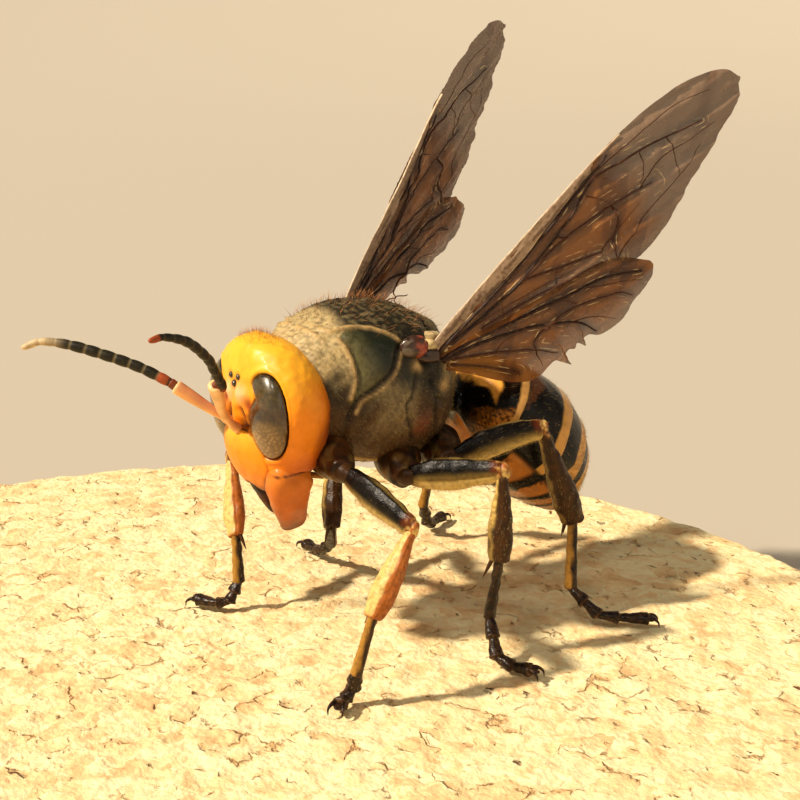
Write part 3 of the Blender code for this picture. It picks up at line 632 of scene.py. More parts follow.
@dataclass(frozen=True)
class Cork:
    """Pressed cork: pale granules of a few millimetres with darker seams, bark specks and open pits."""

    name: str = "pressed_cork"
    light: str = "#FFF0C0"
    middle: str = "#F8DAA2"
    dark: str = "#E8BC86"
    seam: str = "#B07C44"
    pit: str = "#6E4420"
    granule: float = 2.2
    chip: float = 0.8

    def build(self) -> bpy.types.Material:
        """The material: bent cells for the granules, finer ones for chips, stretched noise for pits."""
        material = bpy.data.materials.new(self.name)
        material.use_nodes = True
        tree = material.node_tree
        shader = tree.nodes["Principled BSDF"]
        where = add_node(tree, "TexCoord").outputs["Object"]
        warp = add_node(tree, "TexNoise", {"Scale": 1 / (1.4 * MM), "Detail": 5.0}, {"Vector": where})
        shift = add_node(tree, "VectorMath", {"operation": "SCALE", "Scale": 1.8 * MM},
                         {0: warp.outputs["Color"]})
        bent = add_node(tree, "VectorMath", {"operation": "ADD"}, {0: where, 1: shift.outputs[0]})
        cells = add_node(tree, "TexVoronoi", {"Scale": 1 / (self.granule * MM)},
                         {"Vector": bent.outputs[0]})
        chips = add_node(tree, "TexVoronoi", {"Scale": 1 / (self.chip * MM)},
                         {"Vector": bent.outputs[0]})
        tone = add_node(tree, "SeparateColor", {}, {0: cells.outputs["Color"]}).outputs[0]
        chip_tone = add_node(tree, "SeparateColor", {}, {0: chips.outputs["Color"]}).outputs[1]
        cloud = add_node(tree, "TexNoise", {"Scale": 1 / (1.6 * MM), "Detail": 5.0},
                         {"Vector": bent.outputs[0]}).outputs["Fac"]
        blend = add_node(tree, "Mix", {0: 0.25}, {2: tone, 3: chip_tone})
        blend = add_node(tree, "Mix", {0: 0.6}, {2: blend.outputs[0], 3: cloud})
        ramp = add_node(tree, "ValToRGB", {}, {0: blend.outputs[0]})
        stops = ((0.25, self.dark), (0.38, self.middle), (0.5, self.light), (0.62, self.middle),
                 (0.78, self.dark))
        for index, (position, code) in enumerate((stops[0], stops[-1])):
            ramp.color_ramp.elements[index].position = position
            ramp.color_ramp.elements[index].color = linear_colour(code)
        for position, code in stops[1:-1]:
            ramp.color_ramp.elements.new(position).color = linear_colour(code)
        edges = add_node(tree, "TexVoronoi",
                         {"feature": "DISTANCE_TO_EDGE", "Scale": 1 / (self.granule * MM)},
                         {"Vector": bent.outputs[0]})
        grain = add_node(tree, "TexNoise", {"Scale": 1 / (0.45 * MM), "Detail": 6.0}, {"Vector": where})
        seam = add_node(tree, "MapRange", {"From Min": 0.06, "From Max": 0.0, "To Max": 0.7},
                        {"Value": edges.outputs[0]}).outputs[0]
        broken = add_node(tree, "MapRange", {"From Min": 0.54, "From Max": 0.64},
                          {"Value": cloud}).outputs[0]
        seam = add_node(tree, "Math", {"operation": "MULTIPLY"}, {0: seam, 1: broken}).outputs[0]
        colour = add_node(tree, "Mix", {"data_type": "RGBA", 7: linear_colour(self.seam)},
                          {0: seam, 6: ramp.outputs[0]}).outputs[2]
        stretched = add_node(tree, "Mapping", {"Rotation": (0.0, 0.0, 0.9), "Scale": (0.6, 1.3, 1.0)},
                             {0: bent.outputs[0]})
        holes = add_node(tree, "TexNoise", {"Scale": 1 / (0.8 * MM), "Detail": 4.0},
                         {"Vector": stretched.outputs[0]})
        pit = add_node(tree, "MapRange", {"From Min": 0.66, "From Max": 0.76},
                       {"Value": holes.outputs["Fac"]}).outputs[0]
        colour = add_node(tree, "Mix", {"data_type": "RGBA", 7: linear_colour(self.pit)},
                          {0: pit, 6: colour}).outputs[2]
        tree.links.new(colour, shader.inputs["Base Color"])
        rise = add_node(tree, "Math", {"operation": "SUBTRACT"}, {0: grain.outputs["Fac"], 1: pit})
        rise = add_node(tree, "Math", {"operation": "SUBTRACT"}, {0: rise.outputs[0], 1: seam})
        rise = add_node(tree, "Math", {"operation": "MULTIPLY_ADD", 1: 0.6},
                        {0: chip_tone, 2: rise.outputs[0]})
        bumps = add_node(tree, "Bump", {"Strength": 1.0, "Distance": 0.2 * MM},
                         {"Height": rise.outputs[0]})
        tree.links.new(bumps.outputs["Normal"], shader.inputs["Normal"])
        shader.inputs["Roughness"].default_value = 0.9
        shader.inputs["Specular IOR Level"].default_value = 0.25
        return material


@dataclass(frozen=True)
class Membrane:
    """Wing membrane: a smoky amber film, clear enough to see through, greyer towards its margin."""

    name: str = "smoky_wing_film"
    amber: str = "#8E5A2A"
    smoke: str = "#7C6048"
    layers: tuple[tuple[str, str], ...] = (("cloud", "#5C361A"), ("near_vein", "#2E1408"))
    glint: str = "#FFE2A8"
    alpha_near: float = 0.82
    alpha_far: float = 0.42
    wrinkle: float = 0.17

    def build(self) -> bpy.types.Material:
        """The material: colours by painted values, pale glints on folds beside the veins, and bumps."""
        known = bpy.data.materials.get(self.name)
        if known:
            return known
        material = bpy.data.materials.new(self.name)
        material.use_nodes = True
        tree = material.node_tree
        shader = tree.nodes["Principled BSDF"]
        where = add_node(tree, "TexCoord").outputs["Object"]
        margin = add_node(tree, "Attribute", {"attribute_name": "margin"}).outputs["Fac"]
        colour = add_node(tree, "Mix", {"data_type": "RGBA", 6: linear_colour(self.amber),
                                                  7: linear_colour(self.smoke)}, {0: margin}).outputs[2]
        for value, code in self.layers:
            amount = add_node(tree, "Attribute", {"attribute_name": value}).outputs["Fac"]
            colour = add_node(tree, "Mix", {"data_type": "RGBA", 7: linear_colour(code)},
                              {0: amount, 6: colour}).outputs[2]
        beside = add_node(tree, "Attribute", {"attribute_name": "beside"}).outputs["Fac"]
        folds = add_node(tree, "Math", {"operation": "PINGPONG", 1: self.wrinkle}, {0: beside})
        line = add_node(tree, "MapRange", {"From Min": 0.74 * self.wrinkle, "From Max": self.wrinkle},
                        {"Value": folds.outputs[0]})
        gaps = add_node(tree, "TexNoise", {"Scale": 1 / (0.9 * MM), "Detail": 2.0}, {"Vector": where})
        lit = add_node(tree, "MapRange", {"From Min": 0.53, "From Max": 0.68, "To Max": 0.75},
                       {"Value": gaps.outputs["Fac"]})
        share = add_node(tree, "Math", {"operation": "MULTIPLY"},
                         {0: line.outputs[0], 1: lit.outputs[0]})
        colour = add_node(tree, "Mix", {"data_type": "RGBA", 7: linear_colour(self.glint)},
                          {0: share.outputs[0], 6: colour}).outputs[2]
        tree.links.new(colour, shader.inputs["Base Color"])
        clear = add_node(tree, "Attribute", {"attribute_name": "clear"}).outputs["Fac"]
        opaque = add_node(tree, "MapRange", {"To Min": self.alpha_near, "To Max": self.alpha_far},
                          {"Value": clear})
        tree.links.new(opaque.outputs[0], shader.inputs["Alpha"])
        grain = add_node(tree, "TexNoise", {"Scale": 1 / (0.25 * MM), "Detail": 3.0}, {"Vector": where})
        bumps = add_node(tree, "Bump", {"Strength": 1.0, "Distance": 0.02 * MM},
                         {"Height": grain.outputs["Fac"]})
        tree.links.new(bumps.outputs["Normal"], shader.inputs["Normal"])
        shader.inputs["Roughness"].default_value = 0.34
        shader.inputs["Specular IOR Level"].default_value = 0.12
        return material


def make_piece(name: str, surface: Surface, finish: Any, replaces: Sequence[str] = ()) -> None:
    """Puts a surface into the scene as a piece of the model.

    Args:
        name: The piece's name.
        surface: Its shape and painted values, in millimetres.
        finish: The finish, which builds its material.
        replaces: CAD nodes that the piece stands for.
    """
    data = bpy.data.meshes.new(name)
    data.vertices.add(len(surface.points))
    data.vertices.foreach_set("co", (surface.points * MM).astype(np.float32).ravel())
    corners = np.concatenate([surface.quads.ravel(), surface.triangles.ravel()])
    sizes = np.concatenate([np.full(len(surface.quads), 4), np.full(len(surface.triangles), 3)])
    data.loops.add(len(corners))
    data.loops.foreach_set("vertex_index", corners.astype(np.int32))
    data.polygons.add(len(sizes))
    data.polygons.foreach_set("loop_start", (np.cumsum(sizes) - sizes).astype(np.int32))
    for value, numbers in surface.paint.items():
        data.attributes.new(value, "FLOAT", "POINT").data.foreach_set("value", numbers.astype(np.float32))
    if surface.patch is not None:
        bake_map = data.uv_layers.new(name="OFBake")
        bake_map.data.foreach_set("uv", surface.patch[corners].astype(np.float32).ravel())
    data.update(calc_edges=True)
    data.validate()
    data.shade_smooth()
    data.materials.append(finish.build())
    piece = bpy.data.objects.new(name, data)
    bpy.context.scene.collection.objects.link(piece)
    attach(piece, BODY)
    if replaces:
        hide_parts(*replaces)
    log.info("%s: %d faces", name, len(sizes))


@dataclass(frozen=True)
class Coat:
    """Hair as solid tapered spikes, bent over along the lie of the coat.

    Attributes:
        count: Number of hairs.
        length: Least and greatest length, in millimetres.
        radius: Radius at the root.
        lean: How far the hair lies over, from 0 upright to 1 flat.
        stray: How much directions differ.
        seed: Seed of all draws.
        tile: Its square of the bake map: column, row and how many squares make up a side.
    """

    count: int
    length: Pair
    radius: float
    lean: float
    stray: float
    seed: int
    tile: tuple[int, int, int] = (0, 0, 1)

    def grow(self, rings: Array, lie: Array, weight: Array) -> Surface:
        """Hair on a grid's surface.

        Args:
            rings: The grid that the hair stands on.
            lie: Direction in which the coat lies, at each point of the grid.
            weight: How thick the coat is at each point, from 0 to 1.

        Returns:
            For each hair a three-sided spike with a bend at half its length. Its root is drawn at random
            with a chance that follows weight times face area.
        """
        draw = np.random.default_rng(self.seed)
        rows, sides = rings.shape[:2]
        normals = grid_normals(rings)
        step_along = rings[1:] - rings[:-1]
        step_round = (np.roll(rings, -1, axis=1) - rings)[:-1]
        area = np.linalg.norm(np.cross(step_along, step_round), axis=-1)
        chance = (area * weight[:-1]).ravel()
        cells = draw.choice(len(chance), self.count, p=chance / chance.sum())
        row, column = cells // sides, cells % sides
        down, over = draw.random((2, self.count, 1))
        root = rings[row, column] + down * step_along[row, column] + over * step_round[row, column]
        stray = draw.normal(size=(self.count, 3)) * self.stray
        away = unit(normals[row, column] * (1 - self.lean) + lie[row, column] * self.lean + stray)
        length = draw.uniform(*self.length, (self.count, 1))
        bend = unit(lie[row, column] + 0.3 * stray) * length * (0.15 + 0.3 * draw.random((self.count, 1)))
        across = unit(np.cross(away, normals[row, column] + 0.31 * stray + (0.01, 0.02, 0.03)))
        other = np.cross(away, across)
        turn = around(3)
        star = across[:, None] * np.cos(turn)[:, None] + other[:, None] * np.sin(turn)[:, None]
        low = root - 0.04 * normals[row, column]
        middle = root + away * length * 0.5 + bend * 0.25
        tip = root + away * length + bend
        spikes = np.concatenate([low[:, None] + star * self.radius,
                                 middle[:, None] + star * self.radius * 0.6, tip[:, None]], axis=1)
        starts = 7 * np.arange(self.count)[:, None, None]
        sides_of_spike = np.array([(side, (side + 1) % 3, (side + 1) % 3 + 3, side + 3) for side in range(3)])
        caps = np.array([(3, 4, 6), (4, 5, 6), (5, 3, 6), (2, 1, 0)])
        tint = np.repeat(draw.random((self.count, 1)), 7, axis=1)
        base = np.array([1.0, 1.0, 1.0, 0.1, 0.1, 0.1, 0.0])
        spot = np.stack([(column + over[:, 0]) / sides, (row + down[:, 0]) / rows], axis=1)
        corner = 0.003 * np.array([(0, 0), (0.5, 0), (1, 0), (0, 0.5), (0.5, 0.5), (1, 0.5), (0.5, 1.0)])
        patch = ((np.array(self.tile[:2]) + np.clip(spot, 0.02, 0.96)) / self.tile[2])[:, None] + corner
        return Surface(
            points=spikes.reshape(-1, 3),
            quads=(starts + sides_of_spike).reshape(-1, 4),
            triangles=(starts + caps).reshape(-1, 3),
            paint={"tint": tint.ravel(), "root": np.tile(base, self.count)},
            patch=patch.reshape(-1, 2),
        ).facing_out()


@dataclass(frozen=True)
class HeadForm:
    """The head's form: half width, reach forward and reach back at levels from the jaws up."""

    sections: tuple = (
        (-4.4, 1.0, 1.3, 0.3), (-3.8, 1.8, 1.65, 1.0), (-3.2, 2.7, 1.9, 1.6), (-2.7, 3.6, 2.05, 2.3),
        (-2.0, 4.0, 2.1, 2.6), (-0.8, 4.5, 2.2, 3.0), (1.2, 4.75, 2.2, 3.3), (3.0, 4.25, 2.1, 2.8),
        (4.2, 3.3, 1.8, 1.9), (4.9, 2.2, 1.4, 1.1), (5.3, 0.9, 0.8, 0.2),
    )
    power: float = 2.2

    def table(self, steps: int) -> Array:
        """The sections with smooth ones between them."""
        return curve_through(self.sections, steps)

    def outward(self, forward: Array, up: Array, turn: float) -> Array:
        """How far out the surface lies along an eye's direction.

        Args:
            forward: Places across the eye, towards the face.
            up: Levels.
            turn: Angle of the eye's direction from the side to the front.

        Returns:
            The distance at which the superellipse of that level is met, found by halving.
        """
        wide, front, back = column_at(self.table(16), up)
        low, high = np.zeros_like(forward), np.full_like(forward, 7.0)
        for _ in range(30):
            middle = (low + high) / 2
            across = middle * math.cos(turn) - forward * math.sin(turn)
            rearward = -middle * math.sin(turn) - forward * math.cos(turn)
            reach = np.where(rearward > 0, back, front)
            outside = (np.abs(across) / wide) ** self.power + (np.abs(rearward) / reach) ** self.power > 1
            low, high = np.where(outside, low, middle), np.where(outside, middle, high)
        return low


@dataclass
class Head:
    """The head: its shell, the shield over the mouth, eyes, simple eyes, jaws and mouthparts."""

    form: HeadForm = HeadForm()
    placing: Placing = HEAD_PLACING
    sides: int = 220
    steps: int = 18
    eye_turn: float = math.radians(33)
    eye_middle: Pair = (-0.26, 1.0)
    eye_half: Pair = (1.2, 2.5)
    notch: Triple = (0.42, 0.28, 0.42)
    eye_bulge: float = 0.55
    shield_outline: tuple = ((1.5, -0.15), (-1.5, -0.15), (-2.4, -1.2), (-2.62, -2.2), (-2.35, -2.9),
                             (-1.7, -3.6), (-1.05, -4.2), (0.0, -3.6), (1.05, -4.2), (1.7, -3.6),
                             (2.35, -2.9), (2.62, -2.2), (2.4, -1.2))
    jaw_rows: dict = field(default_factory=lambda: {
        1: ((2.5, 0.2, -2.0, 0.5, 0.8), (2.72, -0.2, -2.65, 0.86, 1.25), (2.72, -0.4, -3.3, 1.0, 1.45),
            (2.32, -0.25, -4.7, 0.9, 1.14), (1.8, 0.1, -5.9, 0.64, 0.9), (1.6, 0.2, -6.4, 0.52, 0.78)),
        -1: ((-2.5, 0.2, -2.0, 0.5, 0.8), (-2.3, 0.1, -2.7, 0.65, 1.1), (-2.0, 0.1, -3.3, 0.64, 1.2),
             (-1.3, 0.3, -4.7, 0.56, 1.0), (-0.7, 0.6, -5.9, 0.42, 0.75), (-0.55, 0.7, -6.35, 0.3, 0.5)),
    })
    marks: tuple = (
        Dimple((0.84, -2.2, 0.15), (0.5, 0.8, 0.45), 0.3, "shade"),
        Dimple((1.5, -2.1, 1.5), (0.5, 0.8, 0.45), 0.14, "rust"),
        Dimple((1.35, -2.1, 2.6), (0.7, 0.9, 0.5), 0.1),
        Dimple((0.7, -2.15, 2.15), (0.55, 0.9, 0.5), -0.12, "peach"),
        Dimple((0.0, -2.09, 2.6), (0.3, 0.6, 0.3), 0.1, "shade"),
        Dimple((0.45, -2.05, 3.05), (0.24, 0.6, 0.22), 0.08, "shade"),
        Crease(((0.62, -2.19, 1.1), (0.95, -2.17, 0.65), (1.2, -2.13, 0.2)), 0.2, 0.22, "shade"),
        Crease(((0.0, -2.2, -0.2), (0.0, -2.2, 1.3)), 0.3, -0.16),
        Crease(((0.0, -2.2, 1.4), (0.0, -2.1, 4.4)), 0.09, 0.04),
        # Painted shade: the groove along the jaw line is painted near black.
        Crease(((2.3, -1.8, -2.3), (2.55, -1.56, -2.52), (3.2, -1.1, -2.55), (3.65, -0.2, -2.62),
                (3.4, 0.9, -2.8), (2.6, 1.7, -2.95)), 0.1, 0.16, "seam"),
        Crease(((2.45, 2.6, 3.6), (3.4, 2.6, 2.0), (3.9, 2.5, 0.5), (3.7, 2.4, -1.4), (3.0, 2.1, -2.6)),
               0.22, -0.08),
    )

    def eye_outline(self, turn: Array) -> tuple[Array, Array]:
        """Forward and up values of the kidney outline: a superellipse drawn in by a bell at the notch."""
        angle, spread, depth = self.notch
        draw_in = 1 - depth * bell((turn - angle + np.pi) % (2 * np.pi) - np.pi, spread)
        across, above = superellipse(turn, self.eye_half[0], self.eye_half[1], self.eye_half[1], 2.2)
        return across * draw_in, above

    def eye_share(self, local: Array) -> Array:
        """How far out each point of the head lies from the near eye's middle, 1 on its outline."""
        across, rearward = np.abs(local[..., 0]), local[..., 1]
        forward = -across * math.sin(self.eye_turn) - rearward * math.cos(self.eye_turn) - self.eye_middle[0]
        outward = across * math.cos(self.eye_turn) - rearward * math.sin(self.eye_turn)
        above = local[..., 2] - self.eye_middle[1]
        turn = around(256)
        rim_forward, rim_above = self.eye_outline(turn)
        rim_turn = np.arctan2(rim_above / self.eye_half[1], rim_forward / self.eye_half[0])
        rim_reach = np.hypot(rim_above / self.eye_half[1], rim_forward / self.eye_half[0])
        order = np.argsort(rim_turn)
        here = np.arctan2(above / self.eye_half[1], forward / self.eye_half[0])
        reach = np.interp(here, rim_turn[order], rim_reach[order], period=2 * np.pi)
        share = np.hypot(above / self.eye_half[1], forward / self.eye_half[0]) / reach
        return np.where(outward > 1.0, share, 9.0)

    def shell_rings(self) -> tuple[Array, dict[str, Array]]:
        """The head's skin as rings with its painted values."""
        table = self.form.table(self.steps)
        turn = around(self.sides)
        level, wide, front, back = (column[:, None] for column in table.T)
        across, rearward = superellipse(turn[None], wide, back, front, self.form.power)
        local = np.stack([across, rearward, level + 0 * across], axis=-1)
        local = round_ends(local, 0.15, 0.1, 6)
        paint: dict[str, Array] = {"seam": np.zeros(local.shape[:2])}
        depth = apply_marks(local, self.marks, paint)
        share = self.eye_share(local)
        depth += 0.4 * smooth(1.06, 0.98, share) + 0.1 * bell(share - 1.0, 0.05)
        depth -= 0.06 * bell(share - 1.12, 0.07)
        depth += 0.25 * smooth(-3.0, -3.6, local[..., 2])
        up = local[..., 2]
        # Painted shade: the shell is painted near black where it meets the eye's rim.
        paint["seam"] = np.maximum(paint["seam"], smooth(1.07, 1.02, share))
        # Painted light: the top is painted yellower, partly its own colour and partly a painted highlight;
        # low down it is painted deeper orange, partly as painted shade, and towards the rear edge darker, as
        # painted shade.
        paint["crown"] = 0.75 * smooth(0.6, 4.6, up - 0.35 * local[..., 1] + 0.4 * ripple(local, 2.0, 3))
        paint["low"] = smooth(0.4, -2.4, up + 0.5 * ripple(local, 2.0, 4)) * smooth(-2.2, 0.0, local[..., 1])
        paint["rim"] = 0.85 * smooth(0.1, 2.4, local[..., 1] - 0.25 * up + 0.2 * ripple(local, 1.5, 5))
        shape = self.placing.place(local)
        return raised(shape, -depth - 0.012 * ripple(local, 0.5, 6)), paint

    def eye(self, side: int) -> Surface:
        """One eye: domed rings from its sunk rim to its middle.

        Args:
            side: 1 for left, -1 for right.

        Returns:
            A closed lens. Each ring is the outline drawn in to a share s, and stands out from the head
            by the bulge times 1 - s cubed.
        """
        turn = around(128)
        share = np.concatenate([[0.9, 0.99, 1.015, 1.02, 1.01], np.linspace(0.985, 0.03, 34)])
        sunk = np.concatenate([[-1.1, -1.0, -0.7, -0.3, -0.1], np.zeros(34)])
        forward, above = self.eye_outline(turn)
        forward = self.eye_middle[0] + share[:, None] * forward
        up = self.eye_middle[1] + share[:, None] * above
        proud = self.eye_bulge * (1 - np.minimum(share, 1.0) ** 3) + sunk + 0.03
        outward = self.form.outward(forward, up, self.eye_turn) + proud[:, None]
        across = outward * math.cos(self.eye_turn) - forward * math.sin(self.eye_turn)
        rearward = -outward * math.sin(self.eye_turn) - forward * math.cos(self.eye_turn)
        local = np.stack([side * across, rearward, up], axis=-1)
        # Painted reflection: the upper part of the eye is painted greyer as the sky's reflection.
        paint = {"sky": 0.8 * smooth(0.9, 3.0, up + 0.2 * ripple(local, 1.0, 8)),
                 "brow": 0.9 * smooth(2.4, -1.2, up + 0.3 * ripple(local, 0.8, 10)),
                 # Painted shade: the lens's sunk edge is painted near black.
                 "edge": smooth(0.93, 1.0, share)[:, None]}
        paint["speck"] = 0.6 * smooth(0.1, 1.2, ripple(local, 0.2, 9)) * smooth(1.4, -0.4, up)
        return loft(self.placing.place(local), paint)

    def shield(self) -> Surface:
        """The clypeus: the outline's rings, bowed by a parabola across and up, with a rolled edge."""
        rim = resampled(np.vstack([self.shield_outline, self.shield_outline[:1]]), 161)[:-1]
        middle = np.array((0.0, -1.9))
        share = np.concatenate([[0.5, 0.9, 0.985, 1.0, 0.995, 0.98], np.linspace(0.96, 0.02, 30)])
        sunk = np.concatenate([[1.5, 1.2, 0.9, 0.35, 0.15, 0.05], np.zeros(30)])
        flat = middle + share[:, None, None] * (rim - middle)
        x, up = flat[..., 0], flat[..., 1]
        bow = -2.55 + 0.1 * x ** 2 + 0.145 * (up + 1.3) ** 2
        rearward = bow + sunk[:, None] + 0.05 * smooth(0.9, 1.0, share)[:, None]
        local = np.stack([x, rearward, up], axis=-1)
        local[..., 1] += 0.012 * ripple(local, 0.9, 11) * smooth(1.0, 0.9, share)[:, None]
        # The shield's top is painted yellower, partly as a painted highlight, and its lower part deeper
        # orange, partly as painted shade.
        paint = {"low": 0.22 * smooth(-1.0, -3.8, up), "crown": 0.5 * smooth(-1.6, -0.3, up),
                 # Painted shade: the shield's sunk edge is painted near black.
                 "seam": smooth(0.975, 0.998, share)[:, None],
                 "shade": 0.7 * smooth(-3.4, -4.1, up)}
        return loft(self.placing.place(local), paint)

    def jaw(self, side: int) -> Surface:
        """One mandible: boxy rings along its line, notched into teeth on the inner edge near the tip.

        Args:
            side: 1 for left, -1 for right.

        Returns:
            The closed jaw.
        """
        rows = curve_through(self.jaw_rows[side], 12)
        path, wide, deep = rows[:, :3], rows[:, 3], rows[:, 4]
        rings = sweep(path, wide, deep, (0.0, 1.0, 0.0), 72, 2.7)
        rings = round_ends(rings, 0.3, 0.1, 6)
        share = np.linspace(0, 1, len(rings))[:, None]
        inner = smooth(0.25, 0.5, -side * (rings[..., 0] - rings[..., 0].mean(axis=1, keepdims=True)))
        teeth = 0.16 * inner * smooth(0.5, 0.7, share) * np.maximum(0, np.sin(share * 48))
        rings[..., 0] += side * teeth
        edge = inner if side > 0 else 0.4 + 0.6 * smooth(0.0, -0.5, rings[..., 1] - path[:, 1].mean())
        paint = {"tip": 0.9 * smooth(0.5, 0.85, share + 0.04 * ripple(rings, 1.0, 13)),
                 "edge": edge * smooth(0.2, 0.4, share + 0.05 * ripple(rings, 0.8, 14)),
                 "pale": 0.8 * smooth(0.6, 0.25, share),
                 # Painted shade: a thin near-black line where the jaw meets the cheek.
                 "seam": bell(rings[..., 2] + 2.6, 0.05)}
        rings = raised(rings, 0.02 * ripple(rings, 0.9, 12))
        return loft(self.placing.place(rings), paint)

    def mouth(self) -> Surface:
        """The tongue block between the jaws and the jointed palps beside it."""
        path, radii = tapered((0.0, 1.0, -2.6), (0.0, 0.5, -5.1), (1.1, 0.95, 0.8, 0.45), 0.0, 20)
        tongue = round_ends(sweep(path, radii, radii * 0.8, (0, 1, 0), 32), 0.3, 0.3)
        parts = [loft(self.placing.place(tongue))]
        for side in (1, -1):
            joints = ((1.9, 1.0, -3.3), (2.8, 1.9, -3.5), (3.7, 2.7, -3.2), (4.2, 3.5, -3.3))
            for start, end in zip(joints, joints[1:]):
                path, radii = tapered(start, end, (0.12, 0.2, 0.14), 0.0, 10)
                ring = round_ends(sweep(path * (side, 1, 1), radii, radii, (0, 0, 1), 12), 0.1, 0.1, 3)
                parts.append(loft(self.placing.place(ring), {"amber": 1.0}))
        return Surface.joined(parts)

    def simple_eyes(self) -> Surface:
        """The three small glassy eyes on the head's front, as low domes."""
        places = (((0.0, -2.04, 2.6), 0.22), ((0.45, -1.98, 3.05), 0.2), ((-0.45, -1.98, 3.05), 0.2))
        return Surface.joined([loft(self.placing.place(lump(middle, (radius,) * 3, 14, 24, 0.05)))
                               for middle, radius in places])

    def build(self) -> None:
        """Makes the head's pieces and its hair."""
        rings, paint = self.shell_rings()
        make_piece("head_shell", loft(rings, paint), HEAD_CHITIN, ["head"])
        make_piece("face_shield", self.shield(), HEAD_CHITIN, ["clypeus"])
        for name, side in (("L", 1), ("R", -1)):
            make_piece("eye_lens_" + name, self.eye(side), EYE_LENS, ["eye_" + name])
            make_piece("jaw_" + name, self.jaw(side), JAW_HORN, ["mandible_" + name])
        make_piece("mouth", self.mouth(), FOOT_CHITIN, ["mouthparts"])
        make_piece("simple_eyes", self.simple_eyes(), EYE_LENS)
        lie = unit(np.broadcast_to(np.array((0.0, 0.4, 1.0)), rings.shape))
        top = smooth(24.3, 24.9, rings[..., 2]) * (0.15 + smooth(6.8, 5.6, rings[..., 1])) + 0.008
        clear = 1 - smooth(1.1, 1.0, self.eye_share(rings - np.array(self.placing.middle)))
        hair = Coat(520, (0.12, 0.45), 0.006, 0.2, 0.3, 21).grow(rings, lie, top * clear)
        make_piece("head_hair", hair, RUST_HAIR)


@dataclass
class Antennae:
    """Both antennae: shaft, small turning joint and a lash of ten joints."""

    shafts: dict = field(default_factory=lambda: {
        "L": ((-1.7, 4.0, 19.35), (-1.65, 3.55, 19.75), (-1.6, 2.95, 20.6), (-0.9, 2.4, 21.6),
              (-0.2, 1.85, 22.55)),
        "R": ((-2.85, 4.2, 19.55), (-2.95, 3.8, 19.75), (-3.75, 2.6, 20.7), (-4.6, 1.45, 21.65)),
    })
    lashes: dict = field(default_factory=lambda: {
        "L": ((0.05, 2.25, 22.45), (0.9, 1.3, 23.7), (1.5, 0.6, 24.6), (2.3, -0.9, 25.8), (3.1, -2.6, 26.4),
              (3.5, -3.5, 26.4)),
        "R": ((-4.8, 1.2, 21.9), (-6.0, -0.3, 22.85), (-7.2, -2.0, 23.6), (-8.4, -3.7, 24.2),
              (-9.3, -5.05, 24.4), (-9.8, -5.9, 24.1)),
    })
    shaft_radii: tuple = (0.32, 0.28, 0.33, 0.4, 0.44)
    lash_radii: dict = field(default_factory=lambda: {"L": 0.29, "R": 0.33})
    joints: int = 10

    def shaft(self, side: str) -> Surface:
        """A scape: a round knob in its socket, then a shaft that widens to its end."""
        path = resampled(self.shafts[side], 40)
        share = np.linspace(0, 1, 40)
        table = curve_through(np.stack([np.linspace(0, 1, 5), self.shaft_radii], axis=1), 8)
        radii = column_at(table, share)[0] * (1 - 0.25 * bell(share - 0.2, 0.06))
        rings = round_ends(sweep(path, radii, radii, (1, 0, 0.3), 28), 0.2, 0.15)
        steps = np.linspace(0, 1, len(rings))[:, None]
        upper = grid_normals(rings)[..., 2]
        # Painted shade: the right shaft is painted pink and darker over all but its underside, and the left
        # only faintly.
        pink = 0.85 if side == "R" else 0.15
        paint = {"pink": pink * smooth(-0.7, 0.3, upper) + 0.15 * ripple(rings, 1.2, 31),
                 "pale": 0.7 * smooth(-0.2, -0.9, upper) + 0.7 * bell(steps - 0.93, 0.05),
                 "seam": smooth(0.12, 0.06, steps) + 0.6 * smooth(0.95, 0.99, steps)}
        return loft(rings, paint)

    def lash(self, side: str) -> Surface:
        """A flagellum: each joint swells by a sine from its narrow start, and paler rings part them."""
        count = 24 * self.joints
        path = resampled(self.lashes[side], count)
        place = np.linspace(0, self.joints, count)
        swell = 0.84 + 0.18 * np.abs(np.sin(np.pi * (place % 1.0))) ** 0.6
        way = place / self.joints
        taper = 1 - 0.35 * smooth(0.6, 1.0, way) - 0.15 * smooth(0.08, 0.0, way)
        radii = self.lash_radii[side] * swell * taper
        rings = round_ends(sweep(path, radii, radii, (0, 0, 1), 24), 0.2, 0.25)
        steps = np.concatenate([np.zeros(5), place, np.full(5, float(self.joints))])[:, None]
        ring = smooth(0.14, 0.04, np.minimum(steps % 1.0, 1 - steps % 1.0)) * (steps > 0.5)
        if side == "L":
            # Painted shade: the left lash is painted near black all along, darker than the right one.
            paint = {"ring": 0.25 * ring, "black": 0.9, "rust": 0.9 * smooth(9.3, 9.6, steps)}
        else:
            paint = {"ring": 0.9 * ring, "pale": 0.95 * smooth(7.0, 9.2, steps),
                     "rust": smooth(1.1, 0.8, steps) * smooth(0.1, 0.4, steps)}
        return loft(rings, paint)

    def turning_joint(self, side: str) -> Surface:
        """The small round pedicel between shaft and lash."""
        path = np.linspace(self.shafts[side][-1], self.lashes[side][0], 12)
        radii = np.full(12, 0.3)
        rings = round_ends(sweep(path, radii, radii, (0, 0, 1), 20), 0.2, 0.2)
        return loft(rings, {"rust": 0.5})

    def build(self) -> None:
        """Makes the pieces of both antennae."""
        for side in "LR":
            make_piece("shaft_" + side, self.shaft(side), SHAFT_HORN, ["scape_" + side])
            lash = Surface.joined([self.lash(side), self.turning_joint(side)])
            make_piece("lash_" + side, lash, LASH_HORN, ["flagellum_" + side])


